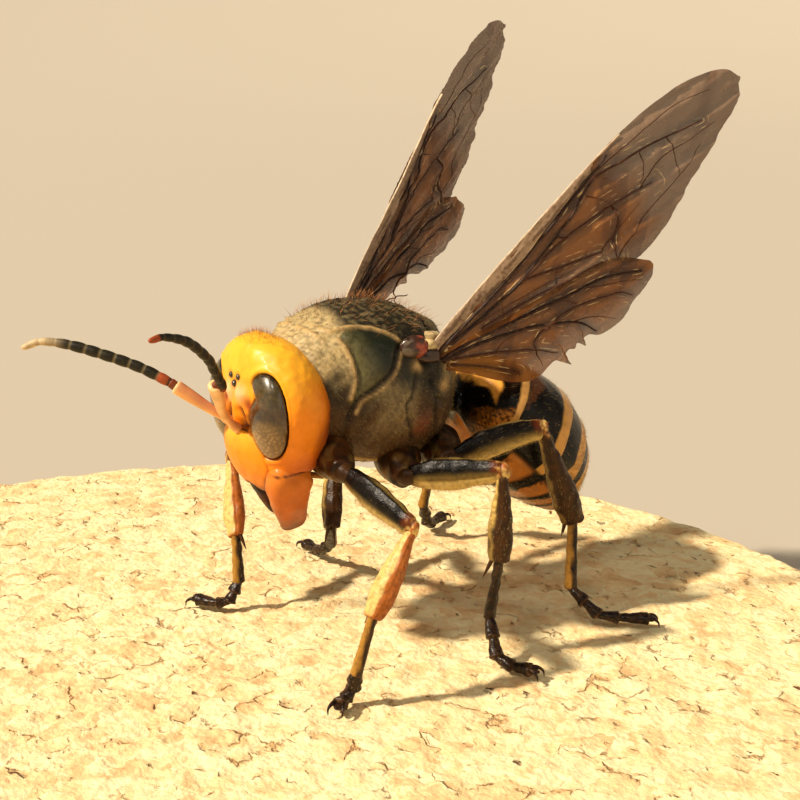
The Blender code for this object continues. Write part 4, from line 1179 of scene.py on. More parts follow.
@dataclass
class Thorax:
    """The thorax as one skin with its plates marked by creases, the tegulae and the pile."""

    placing: Placing = THORAX_PLACING
    sections: tuple = (
        (-6.9, 0.8, 0.5, 1.0), (-6.4, 2.4, 2.1, 3.0), (-5.4, 3.5, 3.4, 3.9), (-2.8, 4.5, 4.8, 4.7),
        (0.0, 4.85, 5.1, 5.2), (2.6, 4.6, 4.6, 5.1), (4.2, 3.75, 3.6, 4.5), (5.3, 2.65, 2.5, 3.7),
        (6.2, 1.6, 1.1, 2.9), (6.8, 0.9, -0.3, 2.0),
    )
    power: float = 2.25
    sides: int = 240
    steps: int = 22
    collar: tuple = ((3.11, -3.96, 3.06), (3.52, -3.7, 2.7), (3.85, -3.52, 2.21), (4.16, -3.38, 1.42),
                     (4.32, -3.33, 0.54), (4.26, -3.52, -0.25))
    scutum_edge: tuple = ((0.0, -4.9, 3.9), (1.2, -4.85, 3.8), (2.5, -4.17, 3.45), (2.8, -3.33, 3.72),
                          (3.1, -2.46, 3.81), (3.51, -1.43, 3.67), (3.87, -0.62, 3.35), (4.07, -0.22, 3.07))
    plate_rear: tuple = ((4.15, -0.2, 2.9), (4.36, -0.51, 2.45), (4.59, -0.82, 1.71), (4.67, -1.26, 1.07),
                         (4.65, -1.92, 0.54), (4.51, -2.64, 0.06), (4.39, -3.17, -0.36), (4.24, -3.39, -1.0))

    def marks(self) -> tuple:
        """The creases, ridges, hollows and swellings of the plates. Creases and hollows that paint seam are
        painted near black as painted shade.
        """
        behind = tuple((x, back + 0.22, up) for x, back, up in self.collar)
        under = tuple((x, back + 0.1, up - 0.25) for x, back, up in self.scutum_edge)
        return (
            Crease(self.collar, 0.15, -0.2, "lip"),
            Crease(behind, 0.12, 0.2, "seam"),
            Crease(((0.4, -5.2, 3.5), (1.9, -5.04, 3.25), (2.6, -4.6, 2.9)), 0.14, -0.14, "lip"),
            Crease(self.scutum_edge, 0.13, -0.14, "lip"),
            Crease(under, 0.12, 0.12),
            Crease(self.plate_rear, 0.14, 0.22, "seam"),
            Crease(tuple((x, back + 0.28, up - 0.1) for x, back, up in self.plate_rear), 0.13, -0.1, "lip"),
            Dimple((4.6, -1.1, -1.4), (3.0, 2.2, 2.0), -0.25),
            Dimple((4.8, 0.1, 0.9), (1.5, 0.62, 0.7), 0.2, "bare"),
            # Painted shade: these hollows are painted near black.
            Dimple((4.6, 1.5, 2.0), (1.2, 0.5, 0.42), 0.3, "seam"),
            Dimple((4.6, 2.15, 0.85), (1.2, 0.4, 0.5), 0.26, "seam"),
            Dimple((4.65, 0.85, 1.62), (1.2, 0.34, 0.34), -0.16, "lip"),
            Dimple((4.3, 3.3, 0.35), (1.2, 0.5, 0.4), -0.1, "lip"),
            Crease(((4.3, 2.1, 2.5), (4.6, 2.66, 1.27), (4.69, 2.52, -0.58), (4.2, 2.9, -2.2),
                    (3.5, 3.2, -3.5)), 0.13, 0.24, "seam"),
            Crease(((4.2, 3.4, 1.6), (4.56, 3.3, 0.3), (4.46, 3.62, -0.69), (3.93, 3.51, -2.71)), 0.12, -0.16,
                   "lip"),
            Crease(((4.8, 0.9, 1.9), (4.85, 0.5, -0.1), (4.8, 0.1, -0.8), (4.5, 0.7, -2.2),
                    (4.0, 1.35, -3.2)), 0.11, 0.14, "seam"),
            Crease(((4.75, 1.4, 0.6), (4.75, 1.9, -0.4), (4.6, 1.5, -1.4)), 0.14, 0.12),
            Dimple((4.6, 1.55, -2.0), (1.4, 0.75, 0.75), -0.24, "rust"),
            Crease(((0.0, 3.0, 4.7), (1.5, 2.9, 4.4), (2.6, 2.6, 3.9), (3.4, 2.1, 3.2)), 0.17, 0.34, "seam"),
            Dimple((1.3, 4.0, 3.9), (1.1, 0.8, 1.2), -0.24),
            Crease(((0.0, 3.2, 4.4), (0.0, 4.7, 3.5)), 0.16, 0.14),
            Crease(((0.0, 5.0, 3.2), (1.6, 4.85, 2.9), (2.9, 4.4, 2.4), (3.8, 3.6, 2.0)), 0.17, 0.3, "seam"),
            Crease(((0.0, 5.5, 2.7), (1.5, 5.35, 2.4), (2.7, 4.9, 1.9)), 0.3, -0.14, "amber"),
            Crease(((0.0, 5.9, 2.2), (1.4, 5.75, 1.9), (2.6, 5.3, 1.3)), 0.12, 0.2, "seam"),
            Crease(((0.0, 6.0, 2.0), (0.0, 7.0, 0.4)), 0.4, 0.22),
            Crease(((1.5, -4.3, 3.9), (1.75, -2.0, 4.6), (1.8, 0.5, 4.7), (1.7, 2.5, 4.3)), 0.1, 0.1),
            Crease(((0.0, -4.6, 4.0), (0.0, -1.2, 5.0)), 0.08, 0.07),
            Crease(((2.4, -2.4, -4.3), (2.6, 0.0, -4.6), (3.3, 1.0, -4.1), (3.6, 2.6, -3.9)), 0.14, -0.16,
                   "lip"),
            # Painted shade: the gap between the collar and the side plate is painted near black.
            Crease(((4.2, -3.5, -1.2), (4.0, -3.6, -2.3), (3.2, -3.4, -3.6), (2.3, -2.9, -4.3)), 0.16, 0.26,
                   "seam"),
            Dimple((2.2, -5.6, -1.6), (1.4, 0.9, 1.6), 0.2),
        )

    def skin(self) -> tuple[Array, Array, dict[str, Array]]:
        """The thorax's skin.

        Returns:
            Its rings in space, the same points in its own frame, and its painted values.
        """
        table = curve_through(self.sections, self.steps)
        turn = 2 * np.pi * (np.arange(self.sides) + 0.5) / self.sides
        along, wide, above, below = (column[:, None] for column in table.T)
        across, up = superellipse(turn[None], wide, above, below, self.power)
        local = round_ends(np.stack([across, along + 0 * across, up], axis=-1), 0.2, 0.2, 4)
        paint: dict[str, Array] = {}
        depth = apply_marks(local, self.marks(), paint)
        plate = np.array(self.collar + self.plate_rear[::-1] + self.scutum_edge[:2:-1])
        flank = np.abs(local[..., 0]) > 2.4
        shiny = inside_outline(local[..., 1], local[..., 2], plate[:, 1:]) & flank
        mirrored = np.abs(local[..., 0:1])
        nearest = distance_to_line(np.concatenate([mirrored, local[..., 1:]], axis=-1), plate)
        paint["bare"] = np.maximum(0.8 * paint["bare"], shiny * smooth(0.05, 0.3, nearest))
        depth -= 0.16 * shiny * smooth(0.0, 0.9, nearest)
        back, up = local[..., 1], local[..., 2]
        patchy = ripple(local, 1.3, 41)
        neck = smooth(-3.0, -3.9, back) * smooth(-0.2, 2.4, up + 0.4 * patchy)
        flank = 0.34 * smooth(-2.6, -1.0, back + 0.4 * patchy) * smooth(1.4, 0.4, back)
        aside = np.abs(local[..., 0])
        flank = flank * smooth(-3.6, -0.6, up) * smooth(1.2, 0.2, up) * smooth(3.6, 4.2, aside)
        crest = 0.22 * smooth(3.9, 3.0, np.abs(local[..., 0]) + 0.4 * patchy) * smooth(2.0, 3.6, up)
        crest = crest * smooth(-0.2, 1.0, ripple(local, 0.5, 45))
        rump = 0.3 * smooth(2.6, 3.4, back) * smooth(-1.0, 1.5, up)
        dust = np.maximum(np.maximum(0.9 * neck, flank), np.maximum(crest, rump))
        paint["dust"] = np.clip(dust * (0.85 + 0.2 * ripple(local, 0.25, 46)), 0, 1)
        # Painted sheen: the bare plate is painted lighter towards its front and lower part, as a painted
        # reflection.
        paint["gleam"] = 0.8 * shiny * smooth(-0.9, -3.0, local[..., 1] + 0.5 * local[..., 2] - 0.6)
        paint["amber"] = np.maximum(paint["amber"] * 0.7, 0.8 * smooth(1.0, -2.0, up + 0.5 * patchy))
        depth -= 0.02 * ripple(local, 0.35, 42) * (1 - paint["bare"]) + 0.03 * ripple(local, 1.1, 43)
        ridged = bell(np.hypot(back - 2.9, up + 0.6), 1.0) * smooth(3.2, 4.0, np.abs(local[..., 0]))
        depth += 0.07 * ridged * np.sin(9.0 * (0.85 * up + 0.5 * back))
        rings = self.placing.place(local)
        return raised(rings, -depth), local, paint

    def tegula(self, side: int) -> Surface:
        """One wing scale: an ellipsoid flattened towards the body with a pale front rim."""
        local = lump((4.35, 0.7, 2.72), (0.55, 1.0, 0.72), 40, 64) * (side, 1, 1)
        local += 0.07 * ripple(local, 0.7, 44)[..., None] * np.array((side, 0.6, 0.8))
        paint = {"rust": 0.9 * smooth(0.7, 1.2, local[..., 1] + 0.3 * ripple(local, 0.8, 47)),
                 "grey": 0.8 * smooth(0.6, 0.1, local[..., 1]) * smooth(-0.6, 0.6, ripple(local, 0.5, 48)),
                 "seam": smooth(1.4, 1.65, local[..., 1])}
        return loft(self.placing.place(local), paint)

    def coats(self, rings: Array, local: Array, paint: dict[str, Array]) -> None:
        """The golden pile all over, and the long bristles on the back."""
        free = 1 - paint["bare"]
        lie = unit(np.gradient(rings, axis=0) + np.array((0.0, 0.2, -0.3)))
        neck = smooth(-6.6, -6.0, local[..., 1]) * smooth(6.7, 5.8, local[..., 1])
        cover = free ** 2 * neck * (0.12 + np.clip(paint["dust"], 0, 1))
        pile = Coat(9000, (0.1, 0.28), 0.007, 0.6, 0.2, 51).grow(rings, lie, cover)
        make_piece("thorax_pile", pile, GOLD_HAIR)
        crest = smooth(3.0, 4.2, local[..., 2]) * smooth(-6.0, -4.0, local[..., 1]) * neck
        crest = crest * (0.5 + 0.5 * smooth(1.5, 0.5, np.abs(local[..., 0])))
        bristles = Coat(380, (0.5, 1.15), 0.013, 0.2, 0.25, 52).grow(rings, lie, crest)
        make_piece("back_bristles", bristles, RUST_HAIR)

    def build(self) -> None:
        """Makes the thorax's pieces."""
        rings, local, paint = self.skin()
        plates = ["pronotum", "mesoscutum", "scutellum", "mesopleura", "propodeum"]
        make_piece("thorax_plates", loft(rings, paint), THORAX_CHITIN, plates)
        for name, side in (("L", 1), ("R", -1)):
            make_piece("wing_scale_" + name, self.tegula(side), TEGULA_CHITIN, ["tegula_" + name])
        self.coats(rings, local, paint)


@dataclass
class Gaster:
    """The six rings of the gaster, each lapping over the next, with their bands and fringes.

    Rings and bands end at shares of the axis that change with the height angle, so each edge is a row of
    shares at the angles in levels, which run from the belly, -90 degrees, to the back, 90.
    """

    axis: tuple = ((19.6, 18.9), (22.5, 18.1), (25.2, 16.2), (27.6, 13.5), (30.0, 9.5))
    sections: tuple = (
        (0.0, 0.8, 0.8), (0.05, 0.85, 0.85), (0.09, 2.3, 2.0), (0.14, 3.5, 3.0), (0.22, 4.1, 3.6),
        (0.38, 4.65, 4.05), (0.48, 4.7, 4.1), (0.62, 4.4, 3.8), (0.76, 3.6, 3.1), (0.88, 2.35, 2.05),
        (0.96, 1.2, 1.0), (1.0, 0.4, 0.35),
    )
    levels: tuple = (-90.0, -12.0, 3.0, 20.0, 47.0, 85.0)
    edges: tuple = (
        (0.0, 0.0, 0.0, 0.0, 0.0, 0.0), (0.19, 0.195, 0.205, 0.217, 0.234, 0.268),
        (0.53, 0.515, 0.49, 0.468, 0.468, 0.48), (0.73, 0.715, 0.68, 0.65, 0.6, 0.6),
        (0.84, 0.83, 0.81, 0.78, 0.735, 0.725), (0.925, 0.92, 0.905, 0.885, 0.86, 0.85),
        (1.0, 1.0, 1.0, 1.0, 1.0, 1.0),
    )
    amber_from: tuple = (0.2, 0.15, 0.12, 0.1, 0.075, 0.075)
    amber_to: tuple = (0.2, 0.15, 0.12, 0.13, 0.155, 0.185)
    brown_from: tuple = (0.3, 0.26, 0.24, 0.225, 0.245, 0.29)
    brown_to: tuple = (0.3, 0.24, 0.23, 0.262, 0.305, 0.36)
    gold_from: tuple = (0.5, 0.445, 0.425, 0.41, 0.405, 0.41)
    power: float = 2.1
    sides: int = 220
    rows: int = 48

    def skin(self, share: Array) -> Array:
        """Points of the bent body.

        Args:
            share: Shares of the axis, an array of rows and as many columns as there are sides.

        Returns:
            Points on superellipses square to the axis, one for each share.
        """
        path = resampled([(MIDLINE, y, z) for y, z in self.axis], 400)
        places = np.linspace(0, 1, 400)
        middle = np.stack([np.interp(share, places, column) for column in path.T], axis=-1)
        steps = np.gradient(path, axis=0)
        along = unit(np.stack([np.interp(share, places, column) for column in steps.T], axis=-1))
        up = np.cross((1.0, 0.0, 0.0), along)
        wide, high = column_at(curve_through(self.sections, 8), np.clip(share, 0, 1))
        turn = around(self.sides)
        x, z = superellipse(turn[None], wide, high, high, self.power)
        return middle + x[..., None] * np.array((1.0, 0, 0)) + z[..., None] * up

    def edge(self, row: Sequence[float]) -> Array:
        """An edge's share at each side, from its row at the levels."""
        turn = around(self.sides)
        return np.interp(np.degrees(np.arcsin(np.sin(turn))), self.levels, row)[None]

    def plate(self, index: int) -> tuple[Array, dict[str, Array]]:
        """One ring's skin.

        Args:
            index: Its number, from 0 at the waist.

        Returns:
            Its rings, tucked in at the front and with a proud rolled edge at the back, and its paint.
        """
        start, end = self.edge(self.edges[index]), self.edge(self.edges[index + 1])
        first, last = index == 0, index == len(self.edges) - 2
        place = np.linspace(0.0, 1.0, self.rows)[:, None]
        share = start + (end - start) * place - (0.0 if first else 0.012) * (1 - place)
        grid = self.skin(share + (0.0 if last else 0.006 * place))
        middle = grid.mean(axis=1, keepdims=True)
        tuck = 1 - (0.0 if first else 0.05) * smooth(0.12, 0.0, place)
        lip = 1 + (0.0 if last else 0.016) * smooth(0.75, 0.97, place)
        grid = middle + (grid - middle) * (tuck * lip)[..., None]
        if last:
            grid = round_end(grid, 0.35)
        else:
            curl = middle[-1] + (grid[-1] - middle[-1]) * np.array([0.995, 0.975, 0.93])[:, None, None]
            ahead = unit(middle[-1] - middle[-3]) * np.array([0.03, 0.05, 0.03])[:, None, None]
            grid = np.concatenate([grid, curl + ahead])
        added = len(grid) - self.rows
        share = np.concatenate([share, np.repeat(share[-1:], added, axis=0)])
        q = np.concatenate([place, np.ones((added, 1))])
        height = np.sin(around(self.sides))[None]
        belly = smooth(-0.8, -0.9, height) if first else smooth(-0.5, -0.56, height)
        groove = bell(height + 0.53, 0.035) * (0.0 if first else 1.0)
        wave = ripple(grid, 1.5, 60 + index) + 0.4 * ripple(grid, 0.4, 70 + index)
        paint = self.bands(index, share, q, wave, grid)
        for name in ("amber", "tan", "brown", "striate"):
            paint[name] = paint[name] * (1 - belly)
        paint["belly"] = belly * smooth(0.3, 0.45, q + 0.08 * wave) * smooth(0.92, 0.8, q) * 0.95
        paint["seam"] = 0.8 * groove
        depth = 0.1 * groove + 0.08 * belly + 0.012 * ripple(grid, 1.3, 80 + index)
        return raised(grid, -depth), paint

    def bands(self, index: int, share: Array, q: Array, wave: Array, grid: Array) -> dict[str, Array]:
        """The painted bands of a ring.

        Args:
            index: Its number.
            share: Share of the axis at each point.
            q: Share of the way from its front to its rear edge.
            wave: The unevenness of the edges.
            grid: Its points.

        Returns:
            How much amber, tan, brown and fine striation lies at each point.
        """
        streaks = 0.6 + 0.5 * ripple(grid * (1.0, 0.15, 1.0), 0.16, 75)
        if index == 0:
            soft = share + 0.004 * wave
            amber = smooth(0.0, 0.012, soft - self.edge(self.amber_from)) \
                * smooth(0.0, -0.012, soft - self.edge(self.amber_to))
            level = self.edge(self.levels)
            side = smooth(8.0, -6.0, level + 4 * wave) * smooth(0.06, 0.14, share) * smooth(0.2, 0.17, share)
            belt = 0.4 * smooth(0.0, 0.01, soft - self.edge(self.amber_to)) * smooth(20.0, 50.0, level)
            return {"amber": amber, "tan": smooth(0.855, 0.885, q + 0.01 * wave),
                    "brown": belt * streaks, "striate": np.clip(side * streaks, 0, 1)}
        if index == 1:
            soft = share + 0.007 * wave
            brown = smooth(0.0, 0.008, soft - self.edge(self.brown_from)) \
                * smooth(0.0, -0.008, soft - self.edge(self.brown_to))
            gold = smooth(0.0, 0.01, share + 0.003 * wave - self.edge(self.gold_from))
            return {"amber": 0.15 * gold, "tan": gold, "brown": brown, "striate": 0.0}
        start = (0.0, 0.0, 0.62, 0.6, 0.55, 0.3)[index]
        gold = smooth(start, start + 0.07, q + 0.03 * wave) * np.clip(0.5 + 0.6 * streaks, 0.6, 1.0)
        return {"amber": (0.9 if index == 5 else 0.15) * gold, "tan": gold, "brown": 0.0, "striate": 0.0}

    def build(self) -> None:
        """Makes the rings and the hair on them."""
        coats = []
        for index in range(len(self.edges) - 1):
            rings, paint = self.plate(index)
            name = "gaster_ring_%d" % (index + 1)
            make_piece(name, loft(rings, paint), GASTER_CHITIN, ["gaster_%d" % (index + 1)])
            lie = unit(np.gradient(rings, axis=0))
            place = np.linspace(0, 1, len(rings))[:, None]
            weight = 0.12 + 1.4 * smooth(0.75, 0.93, place) + np.zeros(rings.shape[:2])
            weight = weight * (smooth(0.3, 0.6, place) if index == 0 else 1.0)
            weight[-4:] = 0.0
            count = (700, 900, 900, 700, 500, 400)[index]
            tile = (index % 3, index // 3, 3)
            coat = Coat(count, (0.1, 0.34), 0.007, 0.62, 0.14, 90 + index, tile)
            coats.append(coat.grow(rings, lie, weight))
        make_piece("gaster_hair", Surface.joined(coats), GOLD_HAIR)


class LegPair(Enum):
    """Which pair a leg belongs to, from the head back."""

    FORE = "fore"
    MID = "mid"
    HIND = "hind"


@dataclass(frozen=True)
class LegShape:
    """What differs between the pairs of legs.

    Attributes:
        thigh: Half heights at even steps along the thigh.
        shin: Half widths at even steps along the shin.
        bow: How far the thigh's middle is lifted.
        border: Height round the thigh, from -1 to 1, where its golden lower part begins.
        streak: Shares of the shin where its golden streak has faded and where it is whole.
    """

    thigh: tuple
    shin: tuple
    bow: float
    border: float
    streak: Pair


LEG_SHAPES = {
    LegPair.FORE: LegShape(thigh=(0.42, 0.74, 0.88, 0.84, 0.72, 0.56),
                           shin=(0.34, 0.42, 0.6, 0.74, 0.74, 0.5),
                           bow=0.0, border=0.1, streak=(0.3, 0.1)),
    LegPair.MID: LegShape(thigh=(0.42, 0.8, 0.95, 0.86, 0.7, 0.55),
                          shin=(0.36, 0.42, 0.56, 0.7, 0.74, 0.6),
                          bow=0.0, border=0.4, streak=(0.75, 0.35)),
    LegPair.HIND: LegShape(thigh=(0.42, 0.74, 0.88, 0.84, 0.72, 0.58),
                           shin=(0.38, 0.48, 0.64, 0.82, 0.9, 0.74),
                           bow=0.3, border=0.4, streak=(0.3, 0.1)),
}


@dataclass
class Leg:
    """One leg: hip, thigh, shin with spurs, and a foot of five joints with two claws and a pad.

    Attributes:
        pair: The pair.
        side: L or R.
        joints: Root, trochanter, knee, ankle, heel, end of the third and of the fourth foot joint, claws.
        foot_drop: How far the foot is let down to rest on the board.
        pale_face: The direction towards the light. The shin and first foot joint are painted paler on the
            side that faces it, as painted light.
    """

    pair: LegPair
    side: str
    joints: tuple[Triple, ...]
    foot_drop: float = 0.2
    pale_face: Triple = (-0.56, -0.83, 0.0)

    @property
    def name(self) -> str:
        """The end of its nodes' names."""
        return "%s_%s" % (self.pair.value, self.side)

    def hip(self) -> Surface:
        """The coxa as a blunt cone and the small trochanter ring at its end."""
        root, trochanter, knee = (np.array(joint) for joint in self.joints[:3])
        path, radii = tapered(root, trochanter, (1.5, 1.42, 1.15, 0.8), 0.0, 30)
        rings = round_ends(sweep(path, radii, radii, (0, 0, 1), 48), 0.3, 0.35)
        rings = raised(rings, 0.04 * ripple(rings, 0.9, 100))
        ahead = unit(knee - trochanter)
        path, radii = tapered(trochanter - ahead * 0.3, trochanter + ahead * 0.75, (0.5, 0.62, 0.5), 0.0, 16)
        ring = round_ends(sweep(path, radii, radii, (0, 0, 1), 32), 0.2, 0.2)
        share = np.linspace(0, 1, len(rings))[:, None]
        paint = {"brown": 0.5 + 0.2 * ripple(rings, 1.4, 101),
                 "amber": 0.12 * smooth(-0.4, 0.8, ripple(rings, 1.1, 103)),
                 "olive": 0.3 * smooth(0.0, 0.9, ripple(rings, 0.9, 102)) * smooth(0.3, 0.8, share)}
        return Surface.joined([loft(rings, paint), loft(ring, {"brown": 0.9})])

    def thigh(self) -> tuple[Array, dict[str, Array]]:
        """The femur: narrow, keeled above and below, black on top with a golden lower edge.

        Returns:
            Its rings, whose keels are bells over the angle, and its paint.
        """
        start, end = np.array(self.joints[1]), np.array(self.joints[2])
        shape = LEG_SHAPES[self.pair]
        path, radii = tapered(start + 0.04 * (end - start), end, shape.thigh, shape.bow, 70)
        rings = round_ends(sweep(path, radii * 0.72, radii, (0, 0, 1), 72, 2.0), 0.3, 0.4, 7)
        share = np.linspace(0, 1, len(rings))[:, None]
        rise = np.sin(around(72))[None]
        rough = ripple(rings, 0.9, 112)
        keel = bell(rise - 0.97, 0.1) + bell(rise + 0.97, 0.12)
        furrow = bell(rise + 0.35, 0.16) * smooth(0.15, 0.3, share) * smooth(0.9, 0.75, share)
        depth = 0.08 * bell(share - 0.92, 0.02) - 0.06 * keel + 0.09 * furrow + 0.03 * rough
        low = smooth(shape.border, shape.border - 1.1, rise + 0.04 * rough) * smooth(0.08, 0.2, share)
        # Painted highlight: a thin golden line along the top edge of the thigh.
        rim = bell(rise - 1.0, 0.02) * smooth(0.3, 0.5, share)
        knee = smooth(0.87, 0.94, share + 0.02 * ripple(rings, 0.5, 113))
        rust = 0.8 * smooth(0.8, 0.87, share) * (1 - knee) * smooth(-0.6, 0.4, rise)
        paint = {"olive": np.clip(0.9 * low + 0.5 * rim, 0, 1), "rust": rust, "amber": 0.9 * knee,
                 "pale": np.clip(0.7 * smooth(-0.3, -0.9, rise) * smooth(0.1, 0.3, share)
                                 + 0.8 * knee * smooth(-0.5, 0.5, ripple(rings, 0.35, 114)), 0, 1),
                 "seam": 0.8 * bell(share - 0.92, 0.008)}
        return raised(rings, -depth), paint

    def shin(self) -> tuple[Array, dict[str, Array]]:
        """The tibia: a narrow bent neck at the knee, widening to the ankle, with ridges along it."""
        knee, ankle = np.array(self.joints[2]), np.array(self.joints[3])
        path, radii = tapered(knee, ankle, LEG_SHAPES[self.pair].shin, 0.0, 70)
        rings = round_ends(sweep(path, radii, radii * 0.86, (0.3, -0.9, 0.1), 64, 2.1), 0.35, 0.12, 6)
        share = np.linspace(0, 1, len(rings))[:, None]
        face, side = np.sin(around(64))[None], np.cos(around(64))[None]
        rough = ripple(rings, 0.8, 121)
        ridge = bell(np.abs(side) - 0.95, 0.12) + 0.8 * bell(face - 0.75, 0.1)
        depth = 0.06 * bell(share - 0.1, 0.03) - 0.05 * ridge * smooth(0.15, 0.3, share) + 0.03 * rough
        rings = raised(rings, -depth)
        joint = smooth(0.14, 0.05, share + 0.02 * rough)
        lit = unit(rings - rings.mean(axis=1, keepdims=True)) @ np.array(self.pale_face) + 0.05 * rough
        if self.pair is LegPair.FORE:
            # Painted light and shade: the fore shin is painted pale on the side towards the light and
            # rust-dark on the other side.
            bright = smooth(-0.05, 0.15, lit)
            paint = {"amber": 0.95, "rust": 0.95 * (1 - bright),
                     "pale": 0.92 * bright * smooth(0.02, 0.1, share) * smooth(0.98, 0.88, share)}
        else:
            # Painted highlight: a golden streak and a thin golden edge on the side towards the light.
            streak = smooth(0.55, 0.9, lit) * smooth(*LEG_SHAPES[self.pair].streak, share) * (1 - 0.5 * joint)
            rim = 0.55 * bell(lit - 0.85, 0.12) * smooth(0.1, 0.25, share)
            paint = {"brown": 0.75 + 0.2 * rough, "amber": 0.7 * joint, "olive": np.clip(streak + rim, 0, 1),
                     "pale": 0.6 * (joint + streak) * smooth(-0.6, 0.6, ripple(rings, 0.3, 122))}
        paint["seam"] = 0.7 * bell(share - 0.99, 0.01)
        return rings, paint

    def spurs(self) -> list[Surface]:
        """The spines at the end of the shin, towards the front: one on a fore leg, else two."""
        knee, ankle, heel = (np.array(self.joints[number]) for number in (2, 3, 4))
        down = unit(ankle - knee)
        lean = unit(down + unit(heel - ankle))
        sign = 1.0 if self.side == "L" else -1.0
        ways = ((-0.9, 0.3),) if self.pair is LegPair.FORE else ((-0.45, -0.9), (-0.95, -0.25))
        result = []
        for across, back in ways:
            out = np.array((sign * across, back, 0.0))
            start = ankle - down * 0.15 + out * 0.4
            end = start + lean * (0.9 if self.pair is LegPair.FORE else 1.3) + out * 0.5
            path, radii = tapered(start, end, (0.13, 0.12, 0.08, 0.02), 0.0, 14)
            rings = round_ends(sweep(path, radii, radii, (1, 0, 0), 12), 0.1, 0.05, 3)
            result.append(loft(rings, {"brown": 0.8}))
        return result

    def foot_joints(self) -> list[Array]:
        """Ankle and the ends of the five foot joints, those after the first joint's end let down towards the
        board.
        """
        ankle, heel, middle, toe, end = (np.array(joint) for joint in self.joints[3:])
        drop = np.array((0.0, 0.0, self.foot_drop))
        return [ankle, heel, (heel + middle) / 2 - drop * 0.6, middle - drop, toe - drop, end - drop]

    def foot(self) -> tuple[Surface, list[Array]]:
        """The tarsus: five joints, each narrow at its start and flared into a lobe at its end.

        Returns:
            Its surface, and the rings of the joints for the hair.
        """
        joints = self.foot_joints()
        parts, grids = [], []
        for number, (start, end) in enumerate(zip(joints, joints[1:])):
            flare = (0.27, 0.34, 0.4, 0.48) if number else (0.34, 0.34, 0.38, 0.42)
            path, radii = tapered(start, end, flare, 0.0, 22)
            rings = round_ends(sweep(path, radii, radii * 0.86, (0, 0, 1), 32, 2.2), 0.1, 0.16, 5)
            rings = raised(rings, 0.02 * ripple(rings, 0.5, 130 + number))
            share = np.linspace(0, 1, len(rings))[:, None]
            paint = {"ring": 0.6 * smooth(0.8, 1.0, share), "seam": smooth(0.12, 0.02, share)}
            if number == 0 and self.pair is not LegPair.MID:
                # Painted light: the first foot joint is painted amber on the side towards the light, partly
                # its own golden colour.
                lit = unit(rings - rings.mean(axis=1, keepdims=True)) @ np.array(self.pale_face)
                lit = lit + 0.2 * ripple(rings * (1, 1, 0.3), 0.4, 135)
                paint["amber"] = smooth(-0.4, 0.3, lit) * smooth(0.02, 0.12, share) * smooth(1.0, 0.86, share)
            parts.append(loft(rings, paint))
            grids.append(rings)
        ahead = unit(joints[-1] - joints[-2])
        across = unit(np.cross(ahead, (0.0, 0.0, 1.0)))
        for side in (1, -1):
            steps = ((-0.15, 0.12, 0.05), (0.3, 0.32, 0.14), (0.66, 0.44, -0.05), (0.76, 0.42, -0.4))
            path = resampled([joints[-1] + f * ahead + side * o * across + (0, 0, lift)
                              for f, o, lift in steps], 20)
            path[:, 2] = np.maximum(path[:, 2], BOARD_TOP + 0.08)
            radii = 0.14 * (1 - np.linspace(0, 1, 20) ** 1.5) + 0.02
            parts.append(loft(round_ends(sweep(path, radii, radii, (0, 0, 1), 14), 0.1, 0.03, 3)))
        path, radii = tapered(joints[-1], joints[-1] + ahead * 0.55, (0.22, 0.28, 0.26, 0.14), 0.0, 12)
        parts.append(loft(round_ends(sweep(path, radii, radii * 0.7, (0, 0, 1), 20), 0.1, 0.1)))
        return Surface.joined(parts), grids

    def hair(self, number: int, thigh: Array, shin: Array, foot: list[Array]) -> Surface:
        """Short golden hair on the thigh's lower edge and the shin, and spines on the foot."""
        under = (0.04 + smooth(-0.75, -0.98, np.sin(around(thigh.shape[1]))))[None]
        parts = [(thigh, under, 700, (0.1, 0.26), 0.007, 0.35, 0.15),
                 (shin, 1.0, 350, (0.1, 0.28), 0.007, 0.45, 0.18)]
        parts += [(rings, 1.0, 36, (0.1, 0.24), 0.008, 0.5, 0.2) for rings in foot]
        coats = []
        for index, (rings, weight, *hair) in enumerate(parts):
            coat = Coat(*hair, 200 + 20 * number + index, (index, number, 7))
            lie = unit(np.gradient(rings, axis=0))
            coats.append(coat.grow(rings, lie, np.broadcast_to(weight, rings.shape[:2])))
        return Surface.joined(coats)

    def build(self, number: int) -> Surface:
        """Makes the leg's pieces and gives back its hair.

        Args:
            number: Which of the six legs it is, for the hair's seed and its row of the bake map.

        Returns:
            The hair, to be joined with the other legs'.
        """
        make_piece("hip_" + self.name, self.hip(), LEG_CHITIN, ["coxa_" + self.name])
        thigh, paint = self.thigh()
        make_piece("thigh_" + self.name, loft(thigh, paint), LEG_CHITIN, ["femur_" + self.name])
        shin, paint = self.shin()
        surface = Surface.joined([loft(shin, paint), *self.spurs()])
        make_piece("shin_" + self.name, surface, LEG_CHITIN, ["tibia_" + self.name])
        foot, grids = self.foot()
        make_piece("foot_" + self.name, foot, FOOT_CHITIN, ["tarsus_" + self.name])
        return self.hair(number, thigh, shin, grids)


